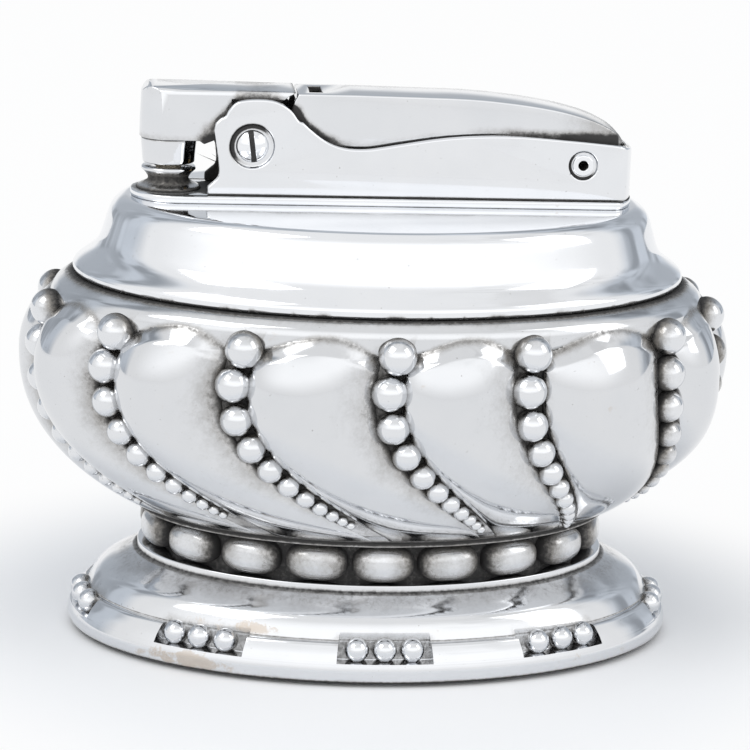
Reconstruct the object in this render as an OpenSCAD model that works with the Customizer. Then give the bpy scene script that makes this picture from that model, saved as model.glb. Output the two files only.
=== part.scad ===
// Oval table lighter: a silver-plated bowl with spiral lobes on a waisted foot,
// and a lift-out lighter unit with a thumb lever, a swinging snuffer and a flint wheel.
// Millimetres. +Z is up, X runs along the lighter, -Y is the front with the screw head.
// The origin is the centre of the felt's underside.

/* [Oval body] */
// Half length of the bowl over the crests of its lobes
bowl_half = 41.25; // [38:0.25:44]
// Depth of every oval divided by its length
oval_ratio = 0.68; // [0.6:0.01:0.8]
// Thickness of the bowl's cast wall
bowl_wall = 1.3; // [1:0.1:2]
// Height of the bowl from its underside to the seam
bowl_h = 27.2; // [25:0.1:30]
// Height of the widest line above the bowl's underside
bowl_mid_h = 17.9; // [16:0.1:19]
// Half length of the bowl's underside
bowl_base_half = 27.2; // [26:0.1:29]
// Thickness of the flange round the bowl's underside
bowl_flange_t = 0.5; // [0.4:0.1:0.8]
// Thickness of the bowl's floor
bowl_floor_t = 2.0; // [1.5:0.1:3]
// Half length of the bowl's rim at the seam
rim_half = 35.2; // [34.5:0.1:36]

/* [Lobes and beads] */
// Number of spiral lobes round the bowl
lobes = 14; // [12:1:16]
// Depth of the grooves between the lobes
groove_depth = 3.05; // [2:0.05:3.5]
// Diameter of the first bead of each row
bead_d = 4.2; // [3.8:0.1:4.6]
// Number of beads over which the diameter falls to 37 %
bead_taper = 8.0; // [7:0.1:9]
// Number of beads in each row
row_beads = 11; // [8:1:11]
// Height of the first bead below the seam
bead_drop = 3.4; // [3:0.1:4]
// Share of a bead's diameter from the groove's surface to its centre
bead_seat = 0.14; // [0.05:0.01:0.3]

/* [Foot and neck] */
// Half length of the foot over its rim band
foot_half = 35.1; // [33:0.1:37]
// Height of the foot from the edge of its rim to its ledge
foot_h = 9.8; // [9:0.1:11]
// Height of the rim band
band_h = 4.45; // [4.2:0.05:4.8]
// Half length of the ledge below the neck beads
ledge_half = 27.1; // [26.5:0.1:28]
// Thickness of the foot's cast wall
foot_wall = 1.4; // [1.2:0.1:1.8]
// Length of each of the eight notches in the rim band
notch_l = 10.9; // [10.2:0.1:11.5]
// Depth of each notch from the face of the band
notch_depth = 1.9; // [1.6:0.1:2]
// Height of each notch's floor above the edge of the rim
notch_floor = 2.35; // [2.2:0.05:2.6]
// Diameter of the balls in the notches
ball_d = 2.75; // [2.5:0.05:2.9]
// Distance between the balls in a notch
ball_pitch = 3.2; // [3.1:0.05:3.3]
// Height of the neck between the foot and the bowl
neck_h = 4.5; // [4.3:0.1:5]
// Half length of the neck's strip inside the beads
neck_half = 24.7; // [24:0.1:25]
// Thickness of the neck's strip
neck_wall = 2.0; // [1.5:0.1:2.5]
// Number of oval beads round the neck
neck_beads_n = 18; // [16:1:18]
// Length of each neck bead
neck_bead_l = 7.0; // [6.4:0.1:7.2]
// How far the neck beads stand out from the strip
neck_bead_out = 2.3; // [1.8:0.1:2.5]
// Thickness of the felt
felt_t = 1.0; // [0.8:0.1:1.5]
// How far the felt stands out below the rim
felt_show = 0.4; // [0.3:0.1:0.6]
// Thickness of the plate that carries the felt
base_plate_t = 0.8; // [0.6:0.1:1.2]
// Half length of the felt and its plate
felt_half = 32.9; // [32:0.1:33]

/* [Clamp] */
// Diameter of the bolt that clamps foot, neck and bowl
clamp_d = 6; // [5:0.5:6]
// Width of the clamp nut and of the bolt's head across flats
clamp_af = 10; // [9:0.5:11]
// Height of the clamp nut
clamp_nut_h = 3.6; // [3:0.1:4]
// Diameter of the clamp washer
clamp_washer_d = 14; // [13:0.5:18]
// Thickness of the clamp washer
clamp_washer_t = 1.2; // [1:0.1:1.5]

/* [Cover and deck] */
// Height of the cover above the seam
cover_h = 8.9; // [8.5:0.1:9.5]
// Half length of the cover's flange at the seam
flange_half = 35.0; // [34.5:0.1:35.2]
// Half length of the cover half way up its side
cover_half = 31.4; // [30.5:0.1:32]
// Half length of the cover's flat top
cover_top_half = 28.9; // [28.6:0.1:29.2]
// Thickness of the cover's sheet
cover_wall = 1.2; // [1:0.1:1.4]
// Depth of the skirt that drops into the bowl
skirt_h = 3.0; // [2:0.1:4]
// Gap between the skirt and the bowl
skirt_gap = 0.3; // [0.3:0.05:0.5]
// Gap between the cover's flange and the bowl's rim
seam_gap = 0.1; // [0.1:0.05:0.2]
// Thickness of the deck plate on the cover
deck_t = 0.8; // [0.6:0.1:1]
// Width of the deck plate
deck_w = 11.2; // [10.8:0.1:12]
// Length of the deck plate
deck_l = 57.2; // [57:0.1:57.4]
// Radius of the corners at the deck plate's rear end
deck_corner_r = 2.0; // [1.5:0.1:2.5]
// Diameter of the two deck screws
deck_screw_d = 2.0; // [1.6:0.1:2.2]
// Diameter of the deck screws' heads
deck_screw_head_d = 3.4; // [3:0.1:3.6]
// Height of the deck screws' heads
deck_screw_head_h = 0.8; // [0.6:0.1:1]

/* [Frame] */
// Outer width of the frame
frame_w = 9.4; // [9.2:0.1:9.8]
// Thickness of the frame's plates
frame_t = 0.9; // [0.8:0.05:0.95]
// Place along X of the frame's front edge
frame_front_x = -20.05; // [-20.3:0.05:-19.8]
// Place along X of the frame's end
frame_end_x = 28.45; // [28.2:0.05:28.5]
// Radius of the frame's bowed end, seen from above
frame_end_r = 9; // [8:0.5:10]
// Radius of the corners of the frame's end
frame_corner_r = 1.3; // [1.2:0.05:1.5]
// Height of the dome round the pivot above the deck
dome_h = 10.95; // [10.7:0.05:11.2]
// Height of the dip behind the dome above the deck
dip_h = 5.5; // [5.4:0.05:5.6]
// Height of the long hump above the deck
hump_h = 7.3; // [7.1:0.05:7.4]
// Height of the frame's end above the deck
frame_end_h = 5.7; // [5.5:0.05:5.8]

/* [Pivot] */
// Place of the snuffer's pivot along X
pivot_x = -15.1; // [-15.3:0.05:-14.9]
// Height of the snuffer's pivot above the deck
pivot_h = 5.65; // [5.6:0.05:5.8]
// Diameter of the pivot sleeve
sleeve_d = 2.8; // [2.6:0.1:3]
// Diameter of the screw in the pivot sleeve
pivot_screw_d = 1.6; // [1.4:0.1:1.8]
// Diameter of the pivot's domed heads
pivot_head_d = 3.75; // [3.5:0.05:4]
// Height of the pivot's domed heads
pivot_head_h = 0.95; // [0.8:0.05:1.1]
// Width of the slots in the pivot's heads
slot_w = 0.55; // [0.45:0.05:0.7]
// Depth of the slots in the pivot's heads
slot_depth = 0.45; // [0.4:0.05:0.55]
// Lean of the front slot from upright, in degrees
slot_lean = 7.6; // [0:0.1:15]
// Diameter of the shallow sinks round the pivot's heads
sink_d = 4.9; // [4.6:0.1:5.2]
// Depth of the shallow sinks in the frame
sink_depth = 0.25; // [0.2:0.01:0.3]
// Running clearance round a shaft, on the radius
run_gap = 0.05; // [0.03:0.01:0.08]

/* [Thumb lever] */
// Place of the lever's hinge along X
hinge_x = 22.37; // [22.1:0.05:22.6]
// Height of the lever's hinge above the deck
hinge_h = 4.1; // [4:0.05:4.2]
// Diameter of the hinge rivet's shank
rivet_d = 1.9; // [1.8:0.05:2]
// Diameter of the hinge rivet's rolled heads
rivet_head_d = 2.4; // [2.3:0.05:2.6]
// Bore through the hinge rivet
rivet_bore = 1.1; // [1:0.05:1.2]
// Diameter of the shallow sinks round the rivet's heads
rivet_sink_d = 3.2; // [3:0.1:3.4]
// Outer width of the thumb lever
lever_w = 7.2; // [7.1:0.05:7.3]
// Thickness of the lever's sheet
lever_t = 0.75; // [0.6:0.05:0.8]
// Place along X of the lever's front edge
lever_front_x = -10.0; // [-10.1:0.05:-9.9]
// Height of the lever's top above the deck at its front
lever_top_h = 11.5; // [11.4:0.05:11.6]
// Place along X of the lever's rear edge
lever_rear_x = 27.25; // [27.1:0.05:27.3]
// Length of the slot where the lever's tongue is punched down
tongue_slot_l = 1.35; // [1.2:0.05:1.5]
// Width of the lever's tongue
tongue_w = 4.4; // [4:0.1:4.6]
// Depth of the tongue's tip below the lever's top
tongue_h = 2.45; // [2.3:0.05:2.5]
// Outer diameter of the return spring
spring_d = 5.0; // [4.6:0.1:5.2]
// Wire of the return spring
spring_wire = 0.6; // [0.5:0.05:0.7]
// Place of the return spring along X
spring_x = 6.0; // [5:0.1:7]

/* [Snuffer] */
// Outer width of the snuffer arm
arm_w = 6.7; // [6.6:0.05:6.8]
// Thickness of the arm's sheet
arm_t = 0.7; // [0.6:0.05:0.75]
// Place along X of the arm's rounded front end
arm_front_x = -27.65; // [-27.8:0.05:-27.4]
// Height of the arm's top above the deck at its front
arm_top_h = 11.92; // [11.85:0.01:12]
// Height of the arm's lower edge above the deck
arm_low_h = 5.9; // [5.8:0.05:6]
// Fall of the arm's top from its front to its tail
arm_fall = 0.26; // [0.2:0.01:0.3]
// Radius of the arm's round cheeks on the pivot
arm_hub_r = 3.6; // [3.5:0.05:3.65]
// Outer width of the arm between the lever's cheeks
arm_hub_w = 5.5; // [5.4:0.05:5.6]
// Thickness of the arm's cheeks between the lever's cheeks
arm_hub_t = 0.4; // [0.35:0.05:0.45]
// Thickness of the arm's driving finger
finger_t = 1.2; // [1.1:0.05:1.2]
// Diameter of the snuffer cap at its foot
cap_d = 5.9; // [5.8:0.05:6]
// Diameter of the snuffer cap at its shoulder
cap_top_d = 6.3; // [6.2:0.05:6.4]
// Height of the snuffer cap's lower edge above the deck
cap_low_h = 3.0; // [2.95:0.05:3.1]
// Bore of the snuffer cap
cap_bore = 4.9; // [4.8:0.05:5]
// Depth of the snuffer cap's bore
cap_depth = 2.5; // [2.3:0.05:2.6]
// Interference of the cap's plug in the arm, on the radius
cap_press = 0.03; // [0.02:0.01:0.05]

/* [Flint and wheel] */
// Diameter of the striker wheel
wheel_d = 6.4; // [6:0.1:6.4]
// Width of the striker wheel
wheel_w = 2.8; // [2.6:0.1:2.8]
// Number of grooves round the striker wheel
wheel_grooves = 24; // [18:2:30]
// Depth of the grooves round the striker wheel
wheel_groove = 0.25; // [0.2:0.01:0.3]
// Width of the ratchet wheel
ratchet_w = 0.9; // [0.8:0.05:0.95]
// Number of teeth of the ratchet wheel
ratchet_teeth = 12; // [10:1:14]
// Depth of the ratchet's teeth
ratchet_tooth = 0.45; // [0.35:0.05:0.5]
// Thickness of the pawl's spring strip
pawl_t = 0.3; // [0.25:0.01:0.35]
// Diameter of the flint
flint_d = 2.4; // [2.2:0.05:2.5]
// Length of the flint
flint_l = 8; // [6:0.1:9]
// Outer diameter of the flint tube
flint_tube_d = 3.6; // [3.5:0.05:3.8]
// Bore of the flint tube
flint_tube_bore = 2.5; // [2.45:0.01:2.55]
// Height of the flint tube's mouth above the deck
flint_tube_h = 1.7; // [1.4:0.05:1.8]
// Wire of the flint spring
flint_wire = 0.45; // [0.4:0.01:0.5]
// Diameter of the flint screw's head
flint_head_d = 4.6; // [4.4:0.1:5]
// Height of the flint screw's head
flint_head_h = 1.2; // [1:0.1:1.4]

/* [Wick and tank] */
// Diameter of the wick
wick_d = 3.0; // [2.8:0.05:3.1]
// Bore of the wick tube
wick_bore = 3.2; // [3.15:0.01:3.25]
// Diameter of the wick tube's top flange
wick_flange_d = 6.2; // [6:0.1:6.3]
// Diameter of the wick tube's waist and stem
wick_stem_d = 4.6; // [4.5:0.05:4.7]
// Height of the wick tube above the deck
wick_tube_h = 2.6; // [2.4:0.05:2.7]
// Height of the wick's tip above the wick tube
wick_tip = 1.8; // [1.4:0.1:2]
// Distance from the ends of the cover's flat top in to the tank's ends
tank_end_gap = 0.9; // [0.8:0.05:1.5]
// Width of the fuel tank
tank_w = 18; // [16:0.5:20]
// Height of the fuel tank
tank_h = 26; // [24:0.1:26.5]
// Thickness of the fuel tank's sheet
tank_t = 0.5; // [0.4:0.05:0.8]
// Gap between the tank and its packing
packing_gap = 0.1; // [0.1:0.05:0.3]
// Place of the filler screw along X
filler_x = 12; // [10:0.5:14]
// Diameter of the filler screw's shank
filler_d = 5; // [4.5:0.1:5.5]
// Length of the filler screw's shank
filler_l = 3.5; // [3:0.1:4]
// Diameter of the filler screw's head
filler_head_d = 8; // [7:0.1:8.5]
// Height of the filler screw's head
filler_head_h = 1.4; // [1.2:0.1:1.6]
// Thickness of the filler washer
filler_washer_t = 0.5; // [0.4:0.05:0.7]

/* [Hidden] */
$fn = 64;
eps = 0.01;

silver = "#d9dadd";
dark_silver = "#8f9093";
brass = "#c8a860";
steel = "#9b9da0";
black_felt = "#1d1c1c";

// Heights of the joints between the stacked pieces
rim_z = felt_show;
ledge_z = rim_z + foot_h;
bowl_z = ledge_z + neck_h;
mid_z = bowl_z + bowl_mid_h;
seam_z = bowl_z + bowl_h;
flange_z = seam_z + seam_gap;
deck_z = seam_z + cover_h;
top_z = deck_z + deck_t;
pivot_z = top_z + pivot_h;
hinge_z = top_z + hinge_h;
wick_x = arm_front_x + arm_w / 2;
wheel_r = wheel_d / 2;
tank_top_z = deck_z - cover_wall;
tank_z = tank_top_z - tank_h;
tank_l = 2 * (cover_top_half - tank_end_gap);

function clamp01(t) = min(1, max(0, t));

// Smooth line through a few points
function spline_at(a, b, c, d, t) =
    0.5 * (2 * b + (c - a) * t + (2 * a - 5 * b + 4 * c - d) * t * t
           + (3 * b - a - 3 * c + d) * t * t * t);
function spline(p, n = 6) = concat(
    [for (i = [0 : len(p) - 2], k = [0 : n - 1])
        spline_at(p[max(i - 1, 0)], p[i], p[i + 1], p[min(i + 2, len(p) - 1)], k / n)],
    [p[len(p) - 1]]);

// Points along an arc about centre c from angle a0 to a1, with radii rx and rz
function arc(c, rx, rz, a0, a1, n = 8) =
    [for (k = [0 : n]) let (a = a0 + (a1 - a0) * k / n) c + [rx * cos(a), rz * sin(a)]];

// Angle 0 faces the front, and angles grow towards +X
function oval_at(half, angle) = [half * sin(angle), -oval_ratio * half * cos(angle)];
function oval_out(angle) =
    let (n = [oval_ratio * sin(angle), -cos(angle)]) n / norm(n);
// Turns equal shares of a whole turn into equal lengths along an oval's edge
bulge2 = 1 - oval_ratio * oval_ratio;
even_shift = 180 / PI * bulge2 / 8 / (1 - bulge2 / 4);
function even_angle(t) = t - even_shift * sin(2 * t);

module oval() { scale([1, oval_ratio, 1]) children(); }
module oval_disc(half, h) { oval() cylinder(r = half, h = h, $fn = 96); }
// Oval plate that is cut flat below and above
module oval_plate(half, h) {
    intersection() {
        translate([0, 0, -h]) oval_disc(half, 3 * h);
        translate([-2 * half, -2 * half, 0]) cube([4 * half, 4 * half, h]);
    }
}
module along_y(w) { translate([0, w / 2, 0]) rotate([90, 0, 0]) linear_extrude(w) children(); }
// Strip from x0 to a bowed end at x1, with round corners
module bowed_strip(x0, x1, w, bow_r, corner_r) {
    centre_x = x1 - bow_r;
    corner_y = w / 2 - corner_r;
    reach = bow_r - corner_r;
    corner_x = centre_x + sqrt(reach * reach - corner_y * corner_y);
    translate([x0, -w / 2]) square([corner_x - x0, w]);
    for (s = [-1, 1]) translate([corner_x, s * corner_y]) circle(r = corner_r);
    intersection() {
        translate([centre_x, 0]) circle(r = bow_r, $fn = 160);
        polygon([for (t = [0, 2, -2]) [centre_x + t * t / 4 * 2 * (corner_x - centre_x), t * corner_y]]);
    }
}
module stadium(l, w) {
    square([l - w, w], center = true);
    for (s = [-1, 1]) translate([s * (l - w) / 2, 0]) circle(d = w);
}

// Foot, felt and neck

felt_fit = 0.1;
band_bulge = 1.1;
band_step = 0.45;
plate_seat_half = felt_half + felt_fit;
band_face_half = foot_half - band_bulge;
band_top_half = band_face_half - 0.75;
slope_top_half = ledge_half + 0.5;
foot_floor_z = ledge_z - foot_wall;

function foot_outline() = concat(
    [[0, ledge_z], [ledge_half, ledge_z], [ledge_half + 0.05, ledge_z - 0.6]],
    spline([[slope_top_half, ledge_z - 1.0], [ledge_half + 2.3, ledge_z - 2.0],
            [ledge_half + 4.4, ledge_z - 3.25], [band_top_half - band_step, rim_z + band_h + 0.2]], 5),
    [[band_top_half - band_step, rim_z + band_h - 0.1], [band_top_half, rim_z + band_h]],
    spline([[band_top_half + 0.35, rim_z + band_h - 0.25], [band_face_half + 0.45, rim_z + band_h - 1.4],
            [foot_half, rim_z + 1.5], [foot_half - 0.25, rim_z + 0.35], [foot_half - 0.8, rim_z]], 5),
    [[plate_seat_half, rim_z], [plate_seat_half, felt_t + base_plate_t],
     [plate_seat_half - 0.9, felt_t + base_plate_t],
     [plate_seat_half - 0.9, rim_z + notch_floor],
     [band_top_half - notch_depth - foot_wall / 2, rim_z + band_h - 0.6],
     [ledge_half - foot_wall, foot_floor_z], [0, foot_floor_z]]);

// Angle of the middle of each notch
notches = [0, 37, 84, 139, 180, 221, 276, 323];
// Angle of ball k of a notch, counted from the notch's middle
function ball_angle(a, k) =
    a + 180 / PI * k * ball_pitch / (foot_half * norm([cos(a), oval_ratio * sin(a)]));
module at_balls() {
    for (a = notches, k = [-1 : 1])
        at_band(ball_angle(a, k)) children();
}

module at_band(angle) {
    p = oval_at(foot_half, angle);
    n = oval_out(angle);
    translate([p[0], p[1], rim_z]) rotate([0, 0, atan2(n[1], n[0])]) children();
}

module felt_pad() {
    color(black_felt) oval_plate(felt_half, felt_t);
}

module base_plate() {
    color(steel) translate([0, 0, felt_t]) oval_plate(felt_half, base_plate_t);
}

// Length of notch that is cut for each ball
notch_share = notch_l - 2 * ball_pitch;
module foot() {
    color(silver) difference() {
        oval() rotate_extrude($fn = 96) polygon(foot_outline());
        at_balls() translate([-notch_depth, -notch_share / 2, notch_floor])
            cube([notch_depth + 2, notch_share, band_h]);
        translate([0, 0, foot_floor_z - 1]) cylinder(d = clamp_d, h = foot_wall + 2);
    }
}

ball_sink = 0.15;
ball_in = 1.65;
module foot_balls() {
    color(silver) at_balls() translate([-ball_in, 0, notch_floor - ball_sink + ball_d / 2])
        sphere(d = ball_d, $fn = 60);
}

module neck_strip() {
    color(dark_silver) translate([0, 0, ledge_z]) difference() {
        oval_disc(neck_half, neck_h);
        translate([0, 0, -1]) oval_disc(neck_half - neck_wall, neck_h + 2);
    }
}

neck_bead_gap = 0.15;
neck_bead_r = neck_h / 2 - neck_bead_gap;
module neck_beads() {
    color(silver) for (i = [0 : neck_beads_n - 1]) {
        a = even_angle(i * 360 / neck_beads_n);
        n = oval_out(a);
        p = oval_at(neck_half, a) + n * (neck_bead_out - neck_bead_r);
        translate([p[0], p[1], ledge_z + neck_h / 2]) rotate([0, 0, atan2(n[1], n[0])])
            scale([neck_bead_r, neck_bead_l / 2, neck_bead_r]) sphere(r = 1, $fn = 60);
    }
}

// Bowl with spiral lobes

row_half = 0.085;
lobe_skew = 0.85;
lobe_round = 0.6;
lobe_top_z = seam_z - 1.7;
arch_drop = 2.4;
arch_soft = 1.6;
swirl_z = mid_z + 1.0;
swirl_back = 1.2;
swirl_low = 0.08;
swirl_high = 0.048;
belly_power = 2.2;
belly_round = 0.87;
shoulder_round = 0.8;
lobe_w = 360 / lobes;
// Degrees by which each row of beads stands off an even spacing, as the master was carved
row_off = [0, -2.7, 3.6, 4.9, 2.6, 0, 0, 0, 0, 0, -1.6, -3.9, -0.7, 0.3];
function row_turn(k) = let (j = (k + lobes) % lobes) lobe_w * k + (j < len(row_off) ? row_off[j] : 0);
// Angle of share v of lobe k; below 0 it lies on the lobe before
function lobe_turn(k, v) =
    row_turn(k) + v * (v < 0 ? row_turn(k) - row_turn(k - 1) : row_turn(k + 1) - row_turn(k));

function swirl(z) = (z < swirl_z ? swirl_low : swirl_high) * (z - swirl_z) * (z - swirl_z) - swirl_back;
function fullness(z) = z < mid_z
    ? pow(1 - pow(clamp01((mid_z - z) / (bowl_mid_h - bowl_flange_t)), belly_power), belly_round)
    : pow(1 - pow(clamp01((z - mid_z) / (seam_z - mid_z)), 2), shoulder_round);
function crest(z) = let (end = z < mid_z ? bowl_base_half : rim_half)
    end + (bowl_half - end) * fullness(z);
function depth(z) = groove_depth * fullness(z) * clamp01((seam_z - 0.9 - z) / 3);
function bump(w) = pow(max(0, sin(180 * pow(w, lobe_skew))), lobe_round);
function arch(w, z) = pow(clamp01((lobe_top_z - arch_drop * (1 - sin(180 * w)) - z) / arch_soft), 0.5);
function sunk_in(v, z) = let (w = clamp01((v - row_half) / (1 - 2 * row_half)))
    depth(z) * (1 - bump(w) * arch(w, z));
function bowl_in(z) = crest(z) - (groove_depth * fullness(z) + bowl_wall) / oval_ratio;

lobe_cuts = [-0.085, 0, 0.085, 0.12, 0.2, 0.33, 0.5, 0.67, 0.8, 0.88];
bowl_in_z = bowl_z + bowl_floor_t;
bowl_levels = [for (k = [0 : 16])
    bowl_z + bowl_flange_t + 0.6 + (lobe_top_z - 0.5 - bowl_z - bowl_flange_t - 0.6) * k / 16];
rim_levels = [lobe_top_z + 0.1, seam_z - 0.8, seam_z - 0.25];
in_levels = [for (k = [5 : -1 : 1]) bowl_in_z + (seam_z - bowl_in_z) * k / 6];
mouth_half = rim_half - 0.4 - bowl_wall;

function ring(half, z) = [for (k = [0 : lobes - 1], v = lobe_cuts)
    let (p = oval_at(half, lobe_turn(k, v) + swirl(z))) [p[0], p[1], z]];
function lobe_ring(z) = [for (k = [0 : lobes - 1], v = lobe_cuts)
    let (a = lobe_turn(k, v) + swirl(z),
         p = oval_at(crest(z), a) - oval_out(a) * sunk_in(v < 0 ? v + 1 : v, z)) [p[0], p[1], z]];

bowl_rings = concat(
    [ring(bowl_base_half, bowl_z), ring(bowl_base_half + 0.2, bowl_z + bowl_flange_t)],
    [for (z = bowl_levels) lobe_ring(z)],
    [for (z = rim_levels) ring(crest(z), z)],
    [ring(rim_half - 0.15, seam_z), ring(mouth_half, seam_z), ring(mouth_half, seam_z - skirt_h - 1)],
    [for (z = in_levels) if (z < seam_z - skirt_h - 2) ring(min(mouth_half, bowl_in(z)), z)],
    [ring(bowl_base_half - 2.5, bowl_in_z)]);

// Closed solid from rings of points, each ring flat
module ring_solid(rings) {
    n = len(rings[0]);
    m = len(rings);
    points = [for (r = rings) each r];
    sides = [for (j = [0 : m - 2], i = [0 : n - 1])
        each [[j * n + i, (j + 1) * n + i, (j + 1) * n + (i + 1) % n],
              [j * n + i, (j + 1) * n + (i + 1) % n, j * n + (i + 1) % n]]];
    caps = [[for (i = [0 : n - 1]) i], [for (i = [n - 1 : -1 : 0]) (m - 1) * n + i]];
    polyhedron(points, concat(caps, sides));
}

module bowl() {
    color(silver) difference() {
        ring_solid(bowl_rings);
        translate([0, 0, bowl_z - 1]) cylinder(d = clamp_d, h = bowl_floor_t + 2);
    }
}

bead_gap = 1.02;
taper_power = 1.5;
// The next bead is looked for down to this many diameters below the last one
bead_search = 1.3;
function bead_size(i) = bead_d * exp(-pow(i / bead_taper, taper_power));
function groove_half(z) = crest(z) - depth(z);
function slope(z) = (groove_half(z + 0.1) - groove_half(z - 0.1)) / 0.2;
function bead_at(k, i, z) = let (a = row_turn(k) + swirl(z),
    p = oval_at(crest(z), a) - oval_out(a) * depth(z),
    n = [oval_ratio * sin(a), -cos(a), -oval_ratio * slope(z)])
    [p[0], p[1], z] + n / norm(n) * bead_size(i) * bead_seat;
// Halves the span until the next bead is one spacing from the last one
function next_z(k, i, last, low, high, n) = let (z = (low + high) / 2) n == 0 ? z
    : norm(bead_at(k, i, z) - last) < bead_gap * (bead_size(i - 1) + bead_size(i)) / 2
      ? next_z(k, i, last, low, z, n - 1) : next_z(k, i, last, z, high, n - 1);
function bead_z(k, i) = i == 0 ? seam_z - bead_drop
    : let (z = bead_z(k, i - 1))
           next_z(k, i, bead_at(k, i - 1, z), z - bead_search * bead_size(i - 1), z, 12);

module bowl_beads() {
    color(silver) for (k = [0 : lobes - 1], i = [0 : row_beads - 1])
        translate(bead_at(k, i, bead_z(k, i))) sphere(d = bead_size(i), $fn = 60);
}

// Bolt, washer and nut that clamp the body together

clamp_head_h = 3;
module hex(af, h) { cylinder(d = af / cos(30), h = h, $fn = 6); }

module clamp_bolt() {
    color(steel) {
        translate([0, 0, foot_floor_z - clamp_head_h]) hex(clamp_af, clamp_head_h);
        translate([0, 0, foot_floor_z - eps])
            cylinder(d = clamp_d, h = bowl_in_z + clamp_washer_t + clamp_nut_h - foot_floor_z + eps);
    }
}

module clamp_washer() {
    color(steel) translate([0, 0, bowl_in_z]) difference() {
        cylinder(d = clamp_washer_d, h = clamp_washer_t);
        translate([0, 0, -1]) cylinder(d = clamp_d, h = clamp_washer_t + 2);
    }
}

module clamp_nut() {
    color(steel) translate([0, 0, bowl_in_z + clamp_washer_t]) difference() {
        hex(clamp_af, clamp_nut_h);
        translate([0, 0, -1]) cylinder(d = clamp_d, h = clamp_nut_h + 2);
    }
}

// Cover, deck plate and deck screws

deck_screw_x = [-2, 14];
skirt_half = mouth_half - skirt_gap / oval_ratio;

function cover_outline() = concat(
    [[0, deck_z], [cover_top_half, deck_z]],
    spline([[cover_top_half + 0.6, deck_z - 0.1], [cover_half - 0.75, deck_z - 0.95],
            [cover_half - 0.2, deck_z - 2.6], [cover_half + 0.3, deck_z - 4.2],
            [cover_half + 1.0, deck_z - 5.9], [flange_half - 0.5, flange_z + 1.5],
            [flange_half, flange_z + 0.8], [flange_half - 0.1, flange_z + 0.2],
            [flange_half - 0.4, flange_z]], 5),
    [[skirt_half, flange_z], [skirt_half, flange_z - skirt_h],
     [skirt_half - cover_wall, flange_z - skirt_h],
     [skirt_half - cover_wall, flange_z + 0.6],
     [cover_half - cover_wall - 0.2, deck_z - 5.0],
     [cover_top_half + 0.3, deck_z - cover_wall], [0, deck_z - cover_wall]]);

// Two halves joined at X = 0, which keep the rims of a thin oval shell exact
module from_halves(reach) {
    for (x = [-reach, 0]) intersection() {
        children();
        translate([x, -reach, 0]) cube([reach, 2 * reach, reach]);
    }
}

module cover() {
    color(silver) difference() {
        from_halves(2 * bowl_half) oval() rotate_extrude($fn = 96) polygon(cover_outline());
        translate([wick_x, 0, tank_top_z - 1]) cylinder(d = wick_stem_d, h = cover_wall + 2);
        translate([pivot_x, 0, tank_top_z - 1]) cylinder(d = flint_tube_d, h = cover_wall + 2);
        for (x = deck_screw_x)
            translate([x, 0, tank_top_z - 1]) cylinder(d = deck_screw_d, h = cover_wall + 2);
    }
}

module deck_plate() {
    color(silver) translate([0, 0, deck_z]) difference() {
        linear_extrude(deck_t) {
            translate([(deck_w - deck_l) / 2, 0]) circle(d = deck_w);
            bowed_strip((deck_w - deck_l) / 2, deck_l / 2, deck_w, frame_end_r, deck_corner_r);
        }
        translate([wick_x, 0, -1]) cylinder(d = wick_stem_d, h = deck_t + 2);
        translate([pivot_x, 0, -1]) cylinder(d = flint_tube_d, h = deck_t + 2);
        for (x = deck_screw_x) translate([x, 0, -1]) cylinder(d = deck_screw_d, h = deck_t + 2);
    }
}

module deck_screws() {
    color(steel) for (x = deck_screw_x) translate([x, 0, top_z]) difference() {
        union() {
            cylinder(d = deck_screw_head_d, h = deck_screw_head_h);
            translate([0, 0, -deck_t - cover_wall])
                cylinder(d = deck_screw_d, h = deck_t + cover_wall + eps);
        }
        translate([-deck_screw_head_d, -slot_w / 2, deck_screw_head_h - slot_depth])
            cube([2 * deck_screw_head_d, slot_w, 1]);
    }
}

// Frame

frame_in_w = frame_w - 2 * frame_t;

function frame_outline() = concat(
    [[frame_front_x, 0], [frame_front_x, 0.94]],
    spline([[frame_front_x + 0.65, 1.5], [frame_front_x + 1.28, 2.4], [frame_front_x + 1.12, 4.5],
            [frame_front_x + 0.65, 7.4]], 4),
    spline([[frame_front_x + 0.8, 8.15], [frame_front_x + 1.35, 8.7],
            [frame_front_x + 1.9, dome_h - 2.0]], 3),
    spline([[pivot_x - 2.75, dome_h - 1.35], [pivot_x - 1.7, dome_h - 0.3],
            [pivot_x + 0.5, dome_h], [pivot_x + 2.6, dome_h - 0.22],
            [pivot_x + 4.2, dome_h - 1.15], [pivot_x + 5.1, dome_h - 2.3],
            [pivot_x + 5.6, dome_h - 2.5]], 4),
    spline([[pivot_x + 6.3, dome_h - 3.15], [pivot_x + 8.1, dip_h + 0.95],
            [pivot_x + 10.3, dip_h + 0.1], [pivot_x + 12.9, dip_h], [pivot_x + 15.4, dip_h + 0.38],
            [pivot_x + 22, hump_h - 0.35], [pivot_x + 28.7, hump_h],
            [pivot_x + 35.5, hump_h - 0.38], [frame_end_x - 4.2, hump_h - 0.68],
            [frame_end_x - 1.8, frame_end_h + 0.65], [frame_end_x, frame_end_h]], 4),
    [[frame_end_x + 1, frame_end_h], [frame_end_x + 1, 0]]);

module frame_plan(w, front_x, inset) {
    bowed_strip(front_x, frame_end_x - inset, w, frame_end_r - inset, frame_corner_r - inset);
}

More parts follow.
